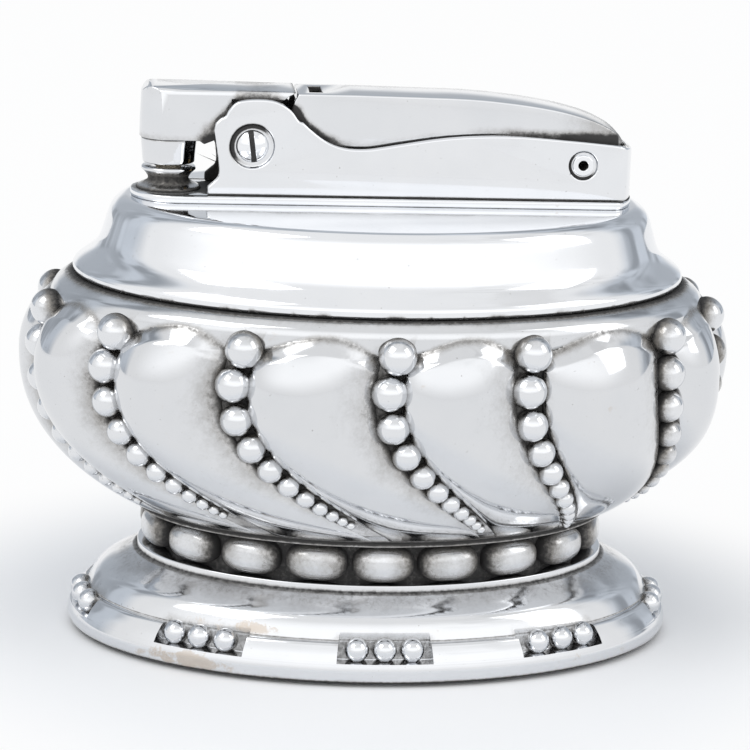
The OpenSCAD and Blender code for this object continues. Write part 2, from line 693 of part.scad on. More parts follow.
module frame() {
    color(silver) difference() {
        intersection() {
            translate([0, 0, top_z]) along_y(frame_w + 2) polygon(frame_outline());
            translate([0, 0, top_z]) linear_extrude(dome_h + 1) difference() {
                frame_plan(frame_w, frame_front_x - 1, 0);
                frame_plan(frame_in_w, frame_front_x - 2, frame_t);
            }
        }
        translate([pivot_x, 0, pivot_z]) along_y_hole(sleeve_d, frame_w + 2);
        translate([hinge_x, 0, hinge_z]) along_y_hole(rivet_d, frame_w + 2);
        for (s = [-1, 1]) {
            translate([pivot_x, s * (frame_w / 2 - sink_depth + 1), pivot_z])
                along_y_hole(sink_d, 2);
            translate([hinge_x, s * (frame_w / 2 - sink_depth + 1), hinge_z])
                along_y_hole(rivet_sink_d, 2);
        }
    }
}

module along_y_hole(d, l) { rotate([90, 0, 0]) cylinder(d = d, h = l, center = true); }

// Pivot: a headed sleeve from the back with a slotted screw in it from the front

head_y = frame_w / 2 - sink_depth;
screw_l = 6;

module domed_head(d, h, lean) {
    ball_r = (d * d / 4 + h * h) / (2 * h);
    difference() {
        intersection() {
            cylinder(d = d, h = h);
            translate([0, 0, h - ball_r]) sphere(r = ball_r, $fn = 96);
        }
        rotate([0, 0, lean]) translate([-slot_w / 2, -d, h - slot_depth])
            cube([slot_w, 2 * d, slot_depth + 1]);
    }
}

module pivot_sleeve() {
    color(silver) translate([pivot_x, 0, pivot_z]) difference() {
        union() {
            translate([0, head_y, 0]) rotate([-90, 0, 0]) domed_head(pivot_head_d, pivot_head_h, slot_lean);
            along_y_hole(sleeve_d, 2 * head_y);
        }
        translate([0, -head_y - 1, 0]) rotate([-90, 0, 0]) cylinder(d = pivot_screw_d, h = screw_l + 1);
    }
}

module pivot_screw() {
    color(silver) translate([pivot_x, -head_y, pivot_z]) {
        rotate([90, 0, 0]) domed_head(pivot_head_d, pivot_head_h, slot_lean);
        rotate([-90, 0, 0]) translate([0, 0, -eps]) cylinder(d = pivot_screw_d, h = screw_l);
    }
}

module hinge_rivet() {
    roll = 0.3;
    color(silver) translate([hinge_x, 0, hinge_z]) difference() {
        union() {
            along_y_hole(rivet_d, 2 * head_y);
            for (s = [-1, 1]) translate([0, s * (head_y + roll / 2), 0]) along_y_hole(rivet_head_d, roll);
        }
        along_y_hole(rivet_bore, frame_w + 2);
    }
}

// Thumb lever and its return spring

lever_in_w = lever_w - 2 * lever_t;
lever_corner_r = 1.1;
lever_bow_r = frame_end_r - (frame_end_x - lever_rear_x);
lever_boss_r = 2.1;
tongue_x = lever_front_x + 1.4;
tongue_end_x = tongue_x + tongue_slot_l;
tongue_root = 0.3;

lever_top = spline([[lever_front_x, lever_top_h], [-3.8, lever_top_h], [5.3, lever_top_h - 0.12],
    [9.8, lever_top_h - 0.25], [13.3, lever_top_h - 0.53], [16.7, lever_top_h - 0.93],
    [20.2, lever_top_h - 1.54], [23.6, lever_top_h - 2.5], [lever_rear_x - 1.25, lever_top_h - 3.7],
    [lever_rear_x - 0.4, lever_top_h - 4.5], [lever_rear_x, lever_top_h - 5.4]], 3);

function lever_outline() = concat(
    [[lever_front_x - 0.4, lever_top_h - 0.8], [lever_front_x - 0.1, lever_top_h - 0.3]],
    lever_top,
    [[lever_rear_x, frame_end_h - 0.5], [hinge_x + 2.4, frame_end_h - 0.7]],
    arc([hinge_x, hinge_h], lever_boss_r, lever_boss_r, 10, -170, 12),
    [[hinge_x - 3.2, hinge_h + 0.6], [hinge_x - 5.6, dip_h - 0.1],
     [lever_front_x + 5.6, dip_h - 0.1], [lever_front_x + 1, dip_h + 0.85],
     [lever_front_x - 0.3, dip_h + 1.2], [lever_front_x - 0.8, dip_h + 2.6],
     [lever_front_x - 0.7, dip_h + 4.0]]);

function lever_hollow() = concat([[lever_front_x - 2, lever_top_h - lever_t]],
    [for (p = lever_top) if (p[0] < lever_rear_x - 1.2) p - [0, lever_t]],
    [[lever_rear_x - lever_t, lever_top_h - 5.2], [lever_rear_x, -1], [lever_front_x - 2, -1]]);

module lever_plan(w, inset) {
    bowed_strip(lever_front_x - 3, lever_rear_x - inset, w, lever_bow_r - inset, lever_corner_r - inset);
}

module thumb_lever() {
    color(silver) difference() {
        union() {
            difference() {
                intersection() {
                    translate([0, 0, top_z]) along_y(lever_w + 2) polygon(lever_outline());
                    translate([0, 0, top_z - 1]) linear_extrude(lever_top_h + 2)
                        lever_plan(lever_w, 0);
                }
                intersection() {
                    translate([0, 0, top_z]) along_y(lever_w + 2) polygon(lever_hollow());
                    translate([0, 0, top_z - 2]) linear_extrude(lever_top_h + 4)
                        lever_plan(lever_in_w, lever_t);
                }
                translate([tongue_x, -tongue_w / 2, top_z + lever_top_h - 2 * lever_t])
                    cube([tongue_slot_l, tongue_w, 3 * lever_t]);
            }
            translate([tongue_end_x - lever_t, -tongue_w / 2, top_z + lever_top_h - tongue_h])
                cube([lever_t + tongue_root, tongue_w, tongue_h - lever_t]);
            translate([tongue_end_x, -tongue_w / 2, top_z + lever_top_h - lever_t - tongue_root])
                cube([tongue_root, tongue_w, 2 * tongue_root]);
        }
        translate([hinge_x, 0, hinge_z]) along_y_hole(rivet_d + 2 * run_gap, frame_w);
    }
}

spring_turns = 6;
spring_seat_gap = 0.05;
// Tube of six sides along a coil that stands on z = 0
module coil(name, d, wire, h, turns) {
    r = (d - wire) / 2;
    steps = turns * 8;
    rings = [for (k = [0 : steps])
        let (a = 360 * k / 8, z = wire / 2 + (h - wire) * k / steps)
        [for (j = [0 : 5]) let (q = r + wire / 2 * cos(60 * j))
            [q * cos(a), q * sin(a), z + wire / 2 * sin(60 * j)]]];
    gap = min([for (k = [0 : steps - 8], p = rings[k], q = rings[k + 8]) norm(p - q)]);
    echo(str(name, ": least gap between turns ", gap, " mm"));
    coil_solid(rings);
}
module coil_solid(rings) {
    n = 6;
    m = len(rings);
    points = [for (r = rings) each r];
    sides = [for (j = [0 : m - 2], i = [0 : n - 1])
        each [[j * n + i, (j + 1) * n + i, (j + 1) * n + (i + 1) % n],
              [j * n + i, (j + 1) * n + (i + 1) % n, j * n + (i + 1) % n]]];
    ends = [[for (i = [0 : n - 1]) i], [for (i = [n - 1 : -1 : 0]) (m - 1) * n + i]];
    polyhedron(points, concat(ends, sides));
}

module return_spring() {
    color(steel) translate([spring_x, 0, top_z])
        coil("return_spring", spring_d, spring_wire,
             lever_top_h - lever_t - 0.15 - spring_seat_gap, spring_turns);
}

// Snuffer arm and cap

arm_tail_x = lever_front_x - 0.3;
arm_in_w = arm_w - 2 * arm_t;
arm_slope = arm_fall / (arm_tail_x - arm_front_x - 1.45);
arm_round = 1.0;
function arm_top(x) = arm_top_h - arm_slope * (x - arm_front_x - 1.45);

function arm_outline() = concat(
    [[arm_front_x, arm_low_h], [arm_front_x, arm_low_h + 1]],
    spline([[arm_front_x + 0.15, arm_top_h - 1.03], [arm_front_x + 0.3, arm_top_h - 0.6],
            [arm_front_x + 0.73, arm_top_h - 0.14], [arm_front_x + 1.45, arm_top_h]], 3),
    [[arm_tail_x, arm_top(arm_tail_x)], [arm_tail_x, arm_top(arm_tail_x) - 0.2],
     [arm_tail_x - 0.8, arm_top(arm_tail_x) - 0.55], [arm_tail_x - 2.4, arm_top(arm_tail_x) - 2.1]],
    arc([pivot_x, pivot_h], arm_hub_r, arm_hub_r, 60, -190, 24),
    [[frame_front_x - 0.4, arm_low_h - 0.35], [wick_x + cap_top_d / 2 + 0.2, arm_low_h]]);

function arm_hollow() =
    [[arm_front_x + arm_t, -1], [arm_front_x + arm_t, arm_top_h - arm_t - 0.3],
     [arm_front_x + arm_t + 0.5, arm_top_h - arm_t],
     [arm_front_x + 1.45, arm_top_h - arm_t],
     [arm_tail_x + 1, arm_top(arm_tail_x + 1) - arm_t], [arm_tail_x + 1, -1]];

module arm_plan(w, front_x) {
    translate([front_x + w / 2, -w / 2]) square([arm_tail_x - front_x + 2, w]);
    translate([front_x + w / 2, 0]) circle(d = w);
}

// Upright U of the channel with rounded upper edges
module arm_section() {
    h = arm_top_h + 1;
    intersection() {
        translate([-arm_w / 2, -2]) square([arm_w, h + 2]);
        union() {
            translate([-arm_w / 2, -2]) square([arm_w, arm_top_h - arm_round + 2]);
            translate([-arm_w / 2 + arm_round, 0]) square([arm_w - 2 * arm_round, h]);
            for (s = [-1, 1]) translate([s * (arm_w / 2 - arm_round), arm_top_h - arm_round])
                circle(r = arm_round);
        }
    }
}

module finger() {
    tip_x = lever_front_x + 2.8;
    translate([0, -(arm_in_w - finger_t) / 2 - eps, 0]) along_y(finger_t) polygon(concat(
        arc([pivot_x, pivot_h], arm_hub_r, arm_hub_r, 60, 300, 20),
        [[tip_x - 0.4, pivot_h + 2.35], [tip_x, pivot_h + 2.7], [tip_x, pivot_h + 3.3],
         [tip_x - 0.8, pivot_h + 3.2], [pivot_x + 3.0, pivot_h + 1.5]]));
}

// The arm's cheeks step inwards behind this place, to pass between the lever's cheeks
arm_step_x = pivot_x - 2.3;
module hub_cheeks() {
    intersection() {
        for (s = [-1, 1]) translate([0, s * (arm_hub_w - arm_hub_t) / 2, 0])
            along_y(arm_hub_t) polygon(arm_outline());
        translate([arm_step_x - 1, -arm_w, 0]) cube([arm_w * 2, 2 * arm_w, arm_top_h - arm_t / 2]);
    }
}

module snuffer_arm() {
    color(silver) translate([0, 0, top_z]) difference() {
        union() {
            difference() {
                intersection() {
                    along_y(arm_w + 2) polygon(arm_outline());
                    linear_extrude(arm_top_h + 2) arm_plan(arm_w, arm_front_x);
                    translate([arm_front_x - 1, 0, 0]) rotate([90, 0, 90])
                        linear_extrude(arm_tail_x - arm_front_x + 4) arm_section();
                }
                intersection() {
                    along_y(arm_w) polygon(arm_hollow());
                    translate([0, 0, -1]) linear_extrude(arm_top_h + 2)
                        arm_plan(arm_in_w, arm_front_x + arm_t);
                }
                translate([arm_step_x, -arm_w, -1])
                    cube([arm_w * 2, 2 * arm_w, arm_top(arm_tail_x) - arm_round + 1]);
            }
            hub_cheeks();
            finger();
        }
        translate([pivot_x, 0, pivot_h]) along_y_hole(sleeve_d + 2 * run_gap, frame_w);
    }
}

module snuffer_cap() {
    shoulder_h = arm_low_h - cap_low_h - 0.05;
    plug_r = arm_in_w / 2 + cap_press;
    color(silver) translate([wick_x, 0, top_z + cap_low_h]) difference() {
        rotate_extrude() polygon([[0, 0], [cap_d / 2, 0], [cap_top_d / 2, shoulder_h - 0.4],
            [cap_top_d / 2, shoulder_h], [plug_r, shoulder_h],
            [plug_r, shoulder_h + 1.8], [plug_r - 0.9, arm_top_h - arm_t - 0.35 - cap_low_h],
            [0, arm_top_h - arm_t - 0.35 - cap_low_h]]);
        translate([0, 0, -1]) cylinder(d = cap_bore, h = cap_depth + 1);
    }
}

// Pawl, striker wheel and ratchet wheel

ratchet_r = wheel_r - 0.2;
pawl_gap = 0.06;
module pawl() {
    root_x = frame_front_x - 1.2;
    bend_x = frame_front_x + 1.0;
    function under(x) = arm_top(x) - arm_t;
    color(steel) translate([0, wheel_w / 2 + (ratchet_w + run_gap) / 2, top_z]) along_y(ratchet_w - run_gap)
        polygon([[root_x, under(root_x)], [bend_x, under(bend_x)],
                 [pivot_x - 0.2, pivot_h + ratchet_r + pawl_gap + pawl_t],
                 [pivot_x + 0.3, pivot_h + ratchet_r + pawl_gap],
                 [pivot_x - 0.6, pivot_h + ratchet_r + pawl_gap],
                 [bend_x - 0.15, under(bend_x) - pawl_t], [root_x, under(root_x) - pawl_t]]);
}

module striker_wheel() {
    color(steel) translate([pivot_x, 0, pivot_z]) rotate([90, 0, 0]) difference() {
        cylinder(r = wheel_r, h = wheel_w, center = true);
        cylinder(d = sleeve_d + 2 * run_gap, h = wheel_w + 2, center = true);
        for (k = [0 : wheel_grooves - 1]) rotate([0, 0, (k + 0.5) * 360 / wheel_grooves])
            translate([wheel_r, 0, 0]) rotate([0, 0, 45])
                cube([wheel_groove * sqrt(2), wheel_groove * sqrt(2), wheel_w + 2], center = true);
    }
}

module ratchet_wheel() {
    n = ratchet_teeth;
    color(steel) translate([pivot_x, wheel_w / 2, pivot_z]) rotate([-90, 0, 0])
        linear_extrude(ratchet_w) difference() {
            polygon([for (k = [0 : n - 1]) each
                [[ratchet_r * cos(360 * k / n + 90), ratchet_r * sin(360 * k / n + 90)],
                 [(ratchet_r - ratchet_tooth) * cos(360 * k / n + 94),
                  (ratchet_r - ratchet_tooth) * sin(360 * k / n + 94)]]]);
            circle(d = sleeve_d + 2 * run_gap);
        }
}

// Flint, flint tube, spring and screw

flint_gap = 0.05;
flint_top = pivot_z - wheel_r - flint_gap;
flint_turns = 10;
tube_top = top_z + flint_tube_h;
flint_screw_l = 3;

module flint() {
    color("#5a5654") translate([pivot_x, 0, flint_top - flint_l]) cylinder(d = flint_d, h = flint_l);
}

module flint_spring() {
    h = flint_top - flint_l - tank_z - flint_screw_l;
    color(steel) translate([pivot_x, 0, tank_z + flint_screw_l])
        coil("flint_spring", flint_tube_bore - 0.1, flint_wire, h, flint_turns);
}

module flint_tube() {
    color(brass) translate([pivot_x, 0, tank_z]) difference() {
        cylinder(d = flint_tube_d, h = tube_top - tank_z);
        translate([0, 0, -1]) cylinder(d = flint_tube_bore, h = tube_top - tank_z + 2);
    }
}

module flint_screw() {
    color(brass) translate([pivot_x, 0, tank_z]) difference() {
        union() {
            cylinder(d = flint_tube_bore, h = flint_screw_l);
            translate([0, 0, -flint_head_h]) cylinder(d = flint_head_d, h = flint_head_h);
        }
        translate([-flint_head_d, -slot_w / 2, -flint_head_h - 1])
            cube([2 * flint_head_d, slot_w, slot_depth + 1]);
    }
}

// Wick tube, wick, tank and packing

tube_foot_d = 7.4;
tube_tail = 2.0;
module wick_tube() {
    color(silver) translate([wick_x, 0, top_z]) difference() {
        union() {
            rotate_extrude() polygon(concat(
                [[0, 0]],
                spline([[tube_foot_d / 2, 0], [tube_foot_d / 2 - 0.25, 0.35], [wick_stem_d / 2 + 0.25, 0.75],
                        [wick_stem_d / 2, 1.15], [wick_stem_d / 2 + 0.2, 1.6],
                        [wick_flange_d / 2 - 0.2, 2.0], [wick_flange_d / 2, 2.2]], 3),
                [[wick_flange_d / 2, wick_tube_h - 0.15], [wick_flange_d / 2 - 0.15, wick_tube_h],
                 [0, wick_tube_h]]));
            translate([0, 0, -deck_t - cover_wall - tube_tail])
                cylinder(d = wick_stem_d, h = deck_t + cover_wall + tube_tail + eps);
        }
        translate([0, 0, -deck_t - cover_wall - tube_tail - 1])
            cylinder(d = wick_bore, h = deck_t + cover_wall + tube_tail + wick_tube_h + 2);
    }
}

wick_l = 24;
module wick() {
    tip = top_z + wick_tube_h + wick_tip;
    color("#cfc6b0") translate([wick_x, 0, tip - wick_l]) cylinder(d = wick_d, h = wick_l);
}

module tank() {
    color(brass) translate([0, 0, tank_z]) difference() {
        linear_extrude(tank_h) stadium(tank_l, tank_w);
        translate([0, 0, tank_t]) linear_extrude(tank_h - 2 * tank_t)
            stadium(tank_l - 2 * tank_t, tank_w - 2 * tank_t);
        translate([wick_x, 0, tank_h - 2]) cylinder(d = wick_stem_d, h = 3);
        translate([pivot_x, 0, -1]) cylinder(d = flint_tube_d, h = tank_h + 2);
        translate([filler_x, 0, -1]) cylinder(d = filler_d, h = 3);
    }
}

module tank_packing() {
    inset = 2 * (tank_t + packing_gap);
    h = tank_h - inset;
    color("#e8e2d2") translate([0, 0, tank_z + tank_t + packing_gap]) difference() {
        linear_extrude(h) stadium(tank_l - inset, tank_w - inset);
        translate([wick_x, 0, -1]) cylinder(d = wick_d + 2 * packing_gap, h = tank_h);
        translate([wick_x, 0, h - tube_tail]) cylinder(d = wick_stem_d + 2 * packing_gap, h = tank_h);
        translate([pivot_x, 0, -1]) cylinder(d = flint_tube_d + 2 * packing_gap, h = tank_h);
        translate([filler_x, 0, -1]) cylinder(d = filler_d + 2 * packing_gap, h = filler_l + 1);
    }
}

module filler_screw() {
    color(brass) translate([filler_x, 0, tank_z - filler_washer_t]) difference() {
        union() {
            cylinder(d = filler_d, h = filler_l);
            translate([0, 0, -filler_head_h]) cylinder(d = filler_head_d, h = filler_head_h);
        }
        translate([-filler_head_d, -0.5, -filler_head_h - 1]) cube([2 * filler_head_d, 1, 1.6]);
    }
}

module filler_washer() {
    color("#8a5a3a") translate([filler_x, 0, tank_z - filler_washer_t]) difference() {
        cylinder(d = filler_head_d - 0.4, h = filler_washer_t);
        translate([0, 0, -1]) cylinder(d = filler_d, h = filler_washer_t + 2);
    }
}

felt_pad();
base_plate();
foot();
foot_balls();
neck_strip();
neck_beads();
bowl();
bowl_beads();
clamp_bolt();
clamp_washer();
clamp_nut();
cover();
deck_plate();
deck_screws();
frame();
pivot_sleeve();
pivot_screw();
hinge_rivet();
thumb_lever();
return_spring();
snuffer_arm();
snuffer_cap();
pawl();
striker_wheel();
ratchet_wheel();
flint();
flint_spring();
flint_tube();
flint_screw();
wick_tube();
wick();
tank();
tank_packing();
filler_screw();
filler_washer();
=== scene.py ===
from math import cos, pi, radians, sin

import bpy
import numpy as np
from mathutils import Matrix, Vector


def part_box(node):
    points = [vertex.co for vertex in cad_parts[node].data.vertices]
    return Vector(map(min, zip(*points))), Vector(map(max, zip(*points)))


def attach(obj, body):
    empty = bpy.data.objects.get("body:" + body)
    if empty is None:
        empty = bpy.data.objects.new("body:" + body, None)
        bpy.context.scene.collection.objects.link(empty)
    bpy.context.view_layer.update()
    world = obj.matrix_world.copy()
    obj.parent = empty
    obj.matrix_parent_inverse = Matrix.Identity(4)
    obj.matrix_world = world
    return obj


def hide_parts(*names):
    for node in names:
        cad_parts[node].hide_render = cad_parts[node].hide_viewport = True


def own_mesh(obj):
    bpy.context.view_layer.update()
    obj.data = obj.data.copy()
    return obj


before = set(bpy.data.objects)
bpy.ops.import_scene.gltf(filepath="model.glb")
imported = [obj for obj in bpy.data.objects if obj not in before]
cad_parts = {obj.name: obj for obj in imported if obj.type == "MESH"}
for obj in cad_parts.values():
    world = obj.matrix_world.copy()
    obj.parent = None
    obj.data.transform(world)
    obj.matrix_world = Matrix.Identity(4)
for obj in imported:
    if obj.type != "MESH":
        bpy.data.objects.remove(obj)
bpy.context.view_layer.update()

# Camera: the photograph looks down on the long side, a little from the snuffer's end,
# and leans two degrees to the right. The object fills most of the square picture.
mm = 0.001
picture = 750
focal_pixels = 3285
sensor_mm = 36.0
distance = 380 * mm
look_down, look_aside, lean = radians(14.3), radians(-5.5), radians(2.0)
aim_height = 29.84 * mm
aim = Vector((0, 0, aim_height))
back = Vector((sin(look_aside) * cos(look_down), -cos(look_aside) * cos(look_down), sin(look_down)))
level = Vector((cos(look_aside), sin(look_aside), 0))
upward = back.cross(level)
right = level * cos(lean) + upward * sin(lean)
up = upward * cos(lean) - level * sin(lean)
lens = bpy.data.cameras.new("photo_camera")
lens.sensor_fit = "HORIZONTAL"
lens.sensor_width = sensor_mm
lens.lens = sensor_mm * focal_pixels / picture
lens.clip_start = 10 * mm
camera = bpy.data.objects.new("photo_camera", lens)
bpy.context.scene.collection.objects.link(camera)
spot = aim + back * distance
rows = [(*row, place) for row, place in zip(zip(right, up, back), spot)]
camera.matrix_world = Matrix(rows + [(0, 0, 0, 1)])
bpy.context.scene.camera = camera
bpy.context.scene.view_settings.view_transform = "Standard"


# Studio: a pale floor, a white room and soft lamps. The room is a little bluer and darker
# to the sides and above the backdrop, so that the silver has something to show.
class Wire:
    """A value or colour on its way through a material. Sums on wires add the nodes for them."""

    def __init__(self, finish, socket):
        self.finish = finish
        self.socket = socket

    def sum(self, operation, *values):
        return self.finish.add("ShaderNodeMath", {"operation": operation}, values)

    def __add__(self, other):
        return self.sum("ADD", self, other)

    def __radd__(self, other):
        return self.sum("ADD", other, self)

    def __sub__(self, other):
        return self.sum("SUBTRACT", self, other)

    def __rsub__(self, other):
        return self.sum("SUBTRACT", other, self)

    def __mul__(self, other):
        return self.sum("MULTIPLY", self, other)

    def __truediv__(self, other):
        return self.sum("DIVIDE", self, other)

    def __pow__(self, other):
        return self.sum("POWER", self, other)

    def size(self):
        """The value without its sign."""
        return self.sum("ABSOLUTE", self)

    def between(self, low, high):
        """0 below low, 1 above high, smooth between them; low may be the larger one."""
        sockets = {"Value": self, "From Min": low, "From Max": high}
        return self.finish.add("ShaderNodeMapRange", {"interpolation_type": "SMOOTHSTEP"}, sockets)


class Finish:
    """A material, or the room's own nodes, with its nodes added in the order of its layers."""

    def __init__(self, name, tree=None):
        if tree is None:
            self.material = bpy.data.materials.new(name)
            self.material.use_nodes = True
            tree = self.material.node_tree
        self.tree = tree
        self.shader = tree.nodes.get("Principled BSDF")

    def add(self, kind, settings=None, values=(), out=0):
        """Adds one node: its settings first, then the values or wires of its sockets."""
        node = self.tree.nodes.new(kind)
        for key, value in (settings or {}).items():
            if key == "stops":
                ramp = node.color_ramp.elements
                while len(ramp) < len(value):
                    ramp.new(0.5)
                for stop, (place, colour) in zip(ramp, value):
                    stop.position = place
                    stop.color = (*colour, 1)
            else:
                setattr(node, key, value)
        for key, value in values.items() if isinstance(values, dict) else enumerate(values):
            self.feed(node.inputs[key], value)
        return Wire(self, node.outputs[out])

    def feed(self, socket, value):
        if isinstance(value, Wire):
            self.tree.links.new(value.socket, socket)
        elif socket.type == "RGBA":
            socket.default_value = (*value, 1)
        else:
            socket.default_value = value

    def set(self, **sockets):
        for key, value in sockets.items():
            self.feed(self.shader.inputs[key.replace("_", " ")], value)

    def millimetres(self):
        """The place on the object, in millimetres."""
        place = self.add("ShaderNodeTexCoord", out="Object")
        return self.add("ShaderNodeVectorMath", {"operation": "SCALE"}, {0: place, "Scale": 1 / mm})

    def axes(self, place):
        return [self.add("ShaderNodeSeparateXYZ", values=[place], out=i) for i in range(3)]

    def noise(self, place, size, detail=2.0, rough=0.5, stretch=(1, 1, 1), seed=0.0):
        """Noise from 0 to 1 whose lumps are about size millimetres wide."""
        scale = [1 / (size * s) for s in stretch]
        spread = self.add("ShaderNodeMapping", values={
            "Vector": place, "Scale": scale, "Location": (seed, seed * 0.7, 0)})
        return self.add("ShaderNodeTexNoise", values={
            "Vector": spread, "Scale": 1.0, "Detail": detail, "Roughness": rough})

    def mix(self, share, first, second):
        sockets = {"Factor": share, 6: first, 7: second}
        return self.add("ShaderNodeMix", {"data_type": "RGBA"}, sockets, out=2)

    def bump(self, height, depth_mm):
        sockets = {"Strength": 1.0, "Distance": depth_mm * mm, "Height": height}
        return self.add("ShaderNodeBump", values=sockets)


floor_size = 6.0
floor_colour = (0.93, 0.94, 0.955)
shadow_reach, white_from = 38.0, 68.0
white_share = 0.9
bpy.ops.object.select_all(action="DESELECT")
bpy.ops.mesh.primitive_plane_add(size=floor_size, location=(0, 0, 0))
floor = bpy.context.object
floor.name = "floor"
floor_finish = Finish("pale_floor")
floor_finish.set(Base_Color=floor_colour, Roughness=0.9)
floor_x, floor_y = floor_finish.axes(floor_finish.millimetres())[:2]
far = (floor_x ** 2.0 + floor_y ** 2.0) ** 0.5
far = far.between(shadow_reach, white_from)
ray_kinds = ("Camera", "Glossy", "Transmission")
seen = [floor_finish.add("ShaderNodeLightPath", out=f"Is {kind} Ray") for kind in ray_kinds]
white = floor_finish.add("ShaderNodeEmission", values={"Strength": 1.0})
share = (seen[0] + seen[1] + seen[2]).between(0.0, 1.0) * far * white_share
lit = Wire(floor_finish, floor_finish.shader.outputs[0])
shown = floor_finish.add("ShaderNodeMixShader", values=[share, lit, white])
floor_finish.feed(floor_finish.tree.nodes["Material Output"].inputs["Surface"], shown)
floor.data.materials.append(floor_finish.material)

room_white, room_blue = (1.0, 1.0, 1.0), (0.86, 0.92, 1.0)
room_light, front_light = 0.95, 0.36
side_shade, stripe_shade, above_shade, ring_shade = 0.2, 0.35, 0.42, 0.12
room = bpy.data.worlds.new("white_room")
bpy.context.scene.world = room
room.use_nodes = True
room_finish = Finish("white_room", room.node_tree)
sky = room_finish.add("ShaderNodeTexCoord", out="Generated")
east, north, high = room_finish.axes(sky)
side = north.between(0.05, 0.3) * north.between(0.97, 0.85)
stripes = room_finish.noise(sky, 0.16, detail=1, stretch=(1, 1, 6)).between(0.35, 0.65)
above_back = north.between(0.3, 0.8) * high.between(0.08, 0.24) * high.between(0.85, 0.55)
rings = room_finish.noise(sky, 0.09, detail=1, stretch=(3, 3, 1), seed=2.0).between(0.4, 0.6)
high_east = east.between(0.15, 0.4) * high.between(0.4, 0.55) * high.between(0.97, 0.85)
side_dark = side * (side_shade + stripes * stripe_shade) * (1.0 - above_back)
shade = side_dark + above_back * above_shade + high_east * rings * ring_shade
room_colour = room_finish.mix(side + above_back * 0.7, room_white, room_blue)
background = room.node_tree.nodes["Background"]
room_finish.feed(background.inputs["Color"], room_colour)
glow = (0 - north).between(0.0, 0.8) * high.between(-0.05, 0.3) * high.between(0.8, 0.45)
backdrop = north.between(0.85, 0.95)
room_strength = room_light + backdrop * (1 - room_light) - shade + glow * front_light
room_finish.feed(background.inputs["Strength"], room_strength)


def soft_lamp(name, place, width, height, watts):
    light = bpy.data.lights.new(name, "AREA")
    light.shape = "RECTANGLE"
    light.size, light.size_y = width, height
    light.energy = watts
    lamp = bpy.data.objects.new(name, light)
    bpy.context.scene.collection.objects.link(lamp)
    lamp.location = place
    lamp.rotation_euler = (aim - Vector(place)).to_track_quat("-Z", "Y").to_euler()


soft_lamp("key_lamp", (-0.55, -0.35, 0.75), 0.5, 0.5, 1.8)
soft_lamp("fill_lamp", (0.7, -0.3, 0.5), 0.35, 0.6, 0.7)


# Foot: a cast oval dish with a bulged rim band, silver plated. Eight notches in the band
# hold three balls each, and a felt on a steel plate closes it from below.
silver_bright, silver_dull = (0.9, 0.91, 0.93), (0.82, 0.84, 0.87)
tarnish_and_shade, base_metal = (0.3, 0.285, 0.265), (0.6, 0.53, 0.46)
speck, sulphide_and_shade = (0.3, 0.29, 0.28), (0.035, 0.034, 0.034)
scratch_h, pit_h, crust_h, dent_depth = 0.008, 0.02, 0.12, 0.06


def silver_plate(name, soil=None, patina_and_shade=0.5, waves=1.0, worn=0.35, rough=0.07, dent_size=5.5, shade_tone=1.0):
    """Bright plate with small dents and fine scratches, and the warm base metal where it has worn through.
    The black and the grey-brown layer come from a given function or from the mesh. Dirt where no cloth
    reaches feeds them, and so does painted shade in hollows and on sides turned away."""
    finish = Finish(name)
    place = finish.millimetres()
    if soil is None:
        grime_and_shade = finish.add("ShaderNodeAttribute", {"attribute_name": "soil"}, out="Fac")
    else:
        grime_and_shade = soil(finish, place)
    rubbed = finish.add("ShaderNodeAttribute", {"attribute_name": "rubbed"}, out="Fac")
    crust = finish.noise(place, 0.55, detail=4, rough=0.7)
    cloud = finish.noise(place, 7.0, detail=3, rough=0.6, seed=3.1)
    # The black and the grey-brown layer are partly dirt and partly painted shade, as their value is.
    black = (grime_and_shade * 1.35 + crust * 0.55 - 0.42).between(0.35, 0.78)
    film_and_shade = (grime_and_shade + cloud * 0.5 + crust * 0.3 - 0.45).between(0.05, 0.6) * patina_and_shade
    patches = finish.noise(place, 2.4, detail=4, rough=0.65, seed=9.4)
    bare = (patches + rubbed * 0.3).between(0.68, 0.8) * (worn + rubbed * 0.5)
    specks = finish.noise(place, 0.3, detail=1, seed=17.0).between(0.76, 0.8) * 0.5
    # Each piece darkens both silvers by its own factor. This is painted shade for the darker surroundings
    # that the piece reflects.
    bright, dull = (tuple(c * shade_tone for c in colour) for colour in (silver_bright, silver_dull))
    colour = finish.mix(cloud, bright, dull)
    for share, layer in ((film_and_shade, tarnish_and_shade), (bare, base_metal), (specks, speck), (black, sulphide_and_shade)):
        colour = finish.mix(share, colour, layer)
    scratches = finish.noise(place, 0.9, detail=2, stretch=(14, 1, 1), seed=5.0)
    smear = finish.noise(place, 4.5, detail=3, seed=1.7)
    roughness = rough + smear.between(0.45, 0.8) * 0.07 + film_and_shade * 0.2 + bare * 0.15 + black * 0.45
    finish.set(Base_Color=colour, Metallic=1.0 - black * 0.75, Roughness=roughness)
    dents = finish.noise(place, dent_size, detail=1, rough=0.4, seed=2.2) * waves
    height = dents + scratches * scratch_h - bare * pit_h - crust * black * crust_h
    finish.set(Normal=finish.bump(height, dent_depth))
    return finish.material


def give(piece, material):
    """The piece with this one material and no other."""
    piece.data.materials.clear()
    piece.data.materials.append(material)


def stand_for(piece, material, body, slot, *cad_nodes):
    """A piece of this scene that rides on a body in place of CAD nodes."""
    give(piece, material)
    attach(piece, body)
    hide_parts(*cad_nodes)


def finish_node(node, material):
    give(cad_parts[node], material)


def nearness(value, middle, width):
    """1 where the value is at the middle, falling off like a bell over width."""
    return np.exp(-((value - middle) / width) ** 2)


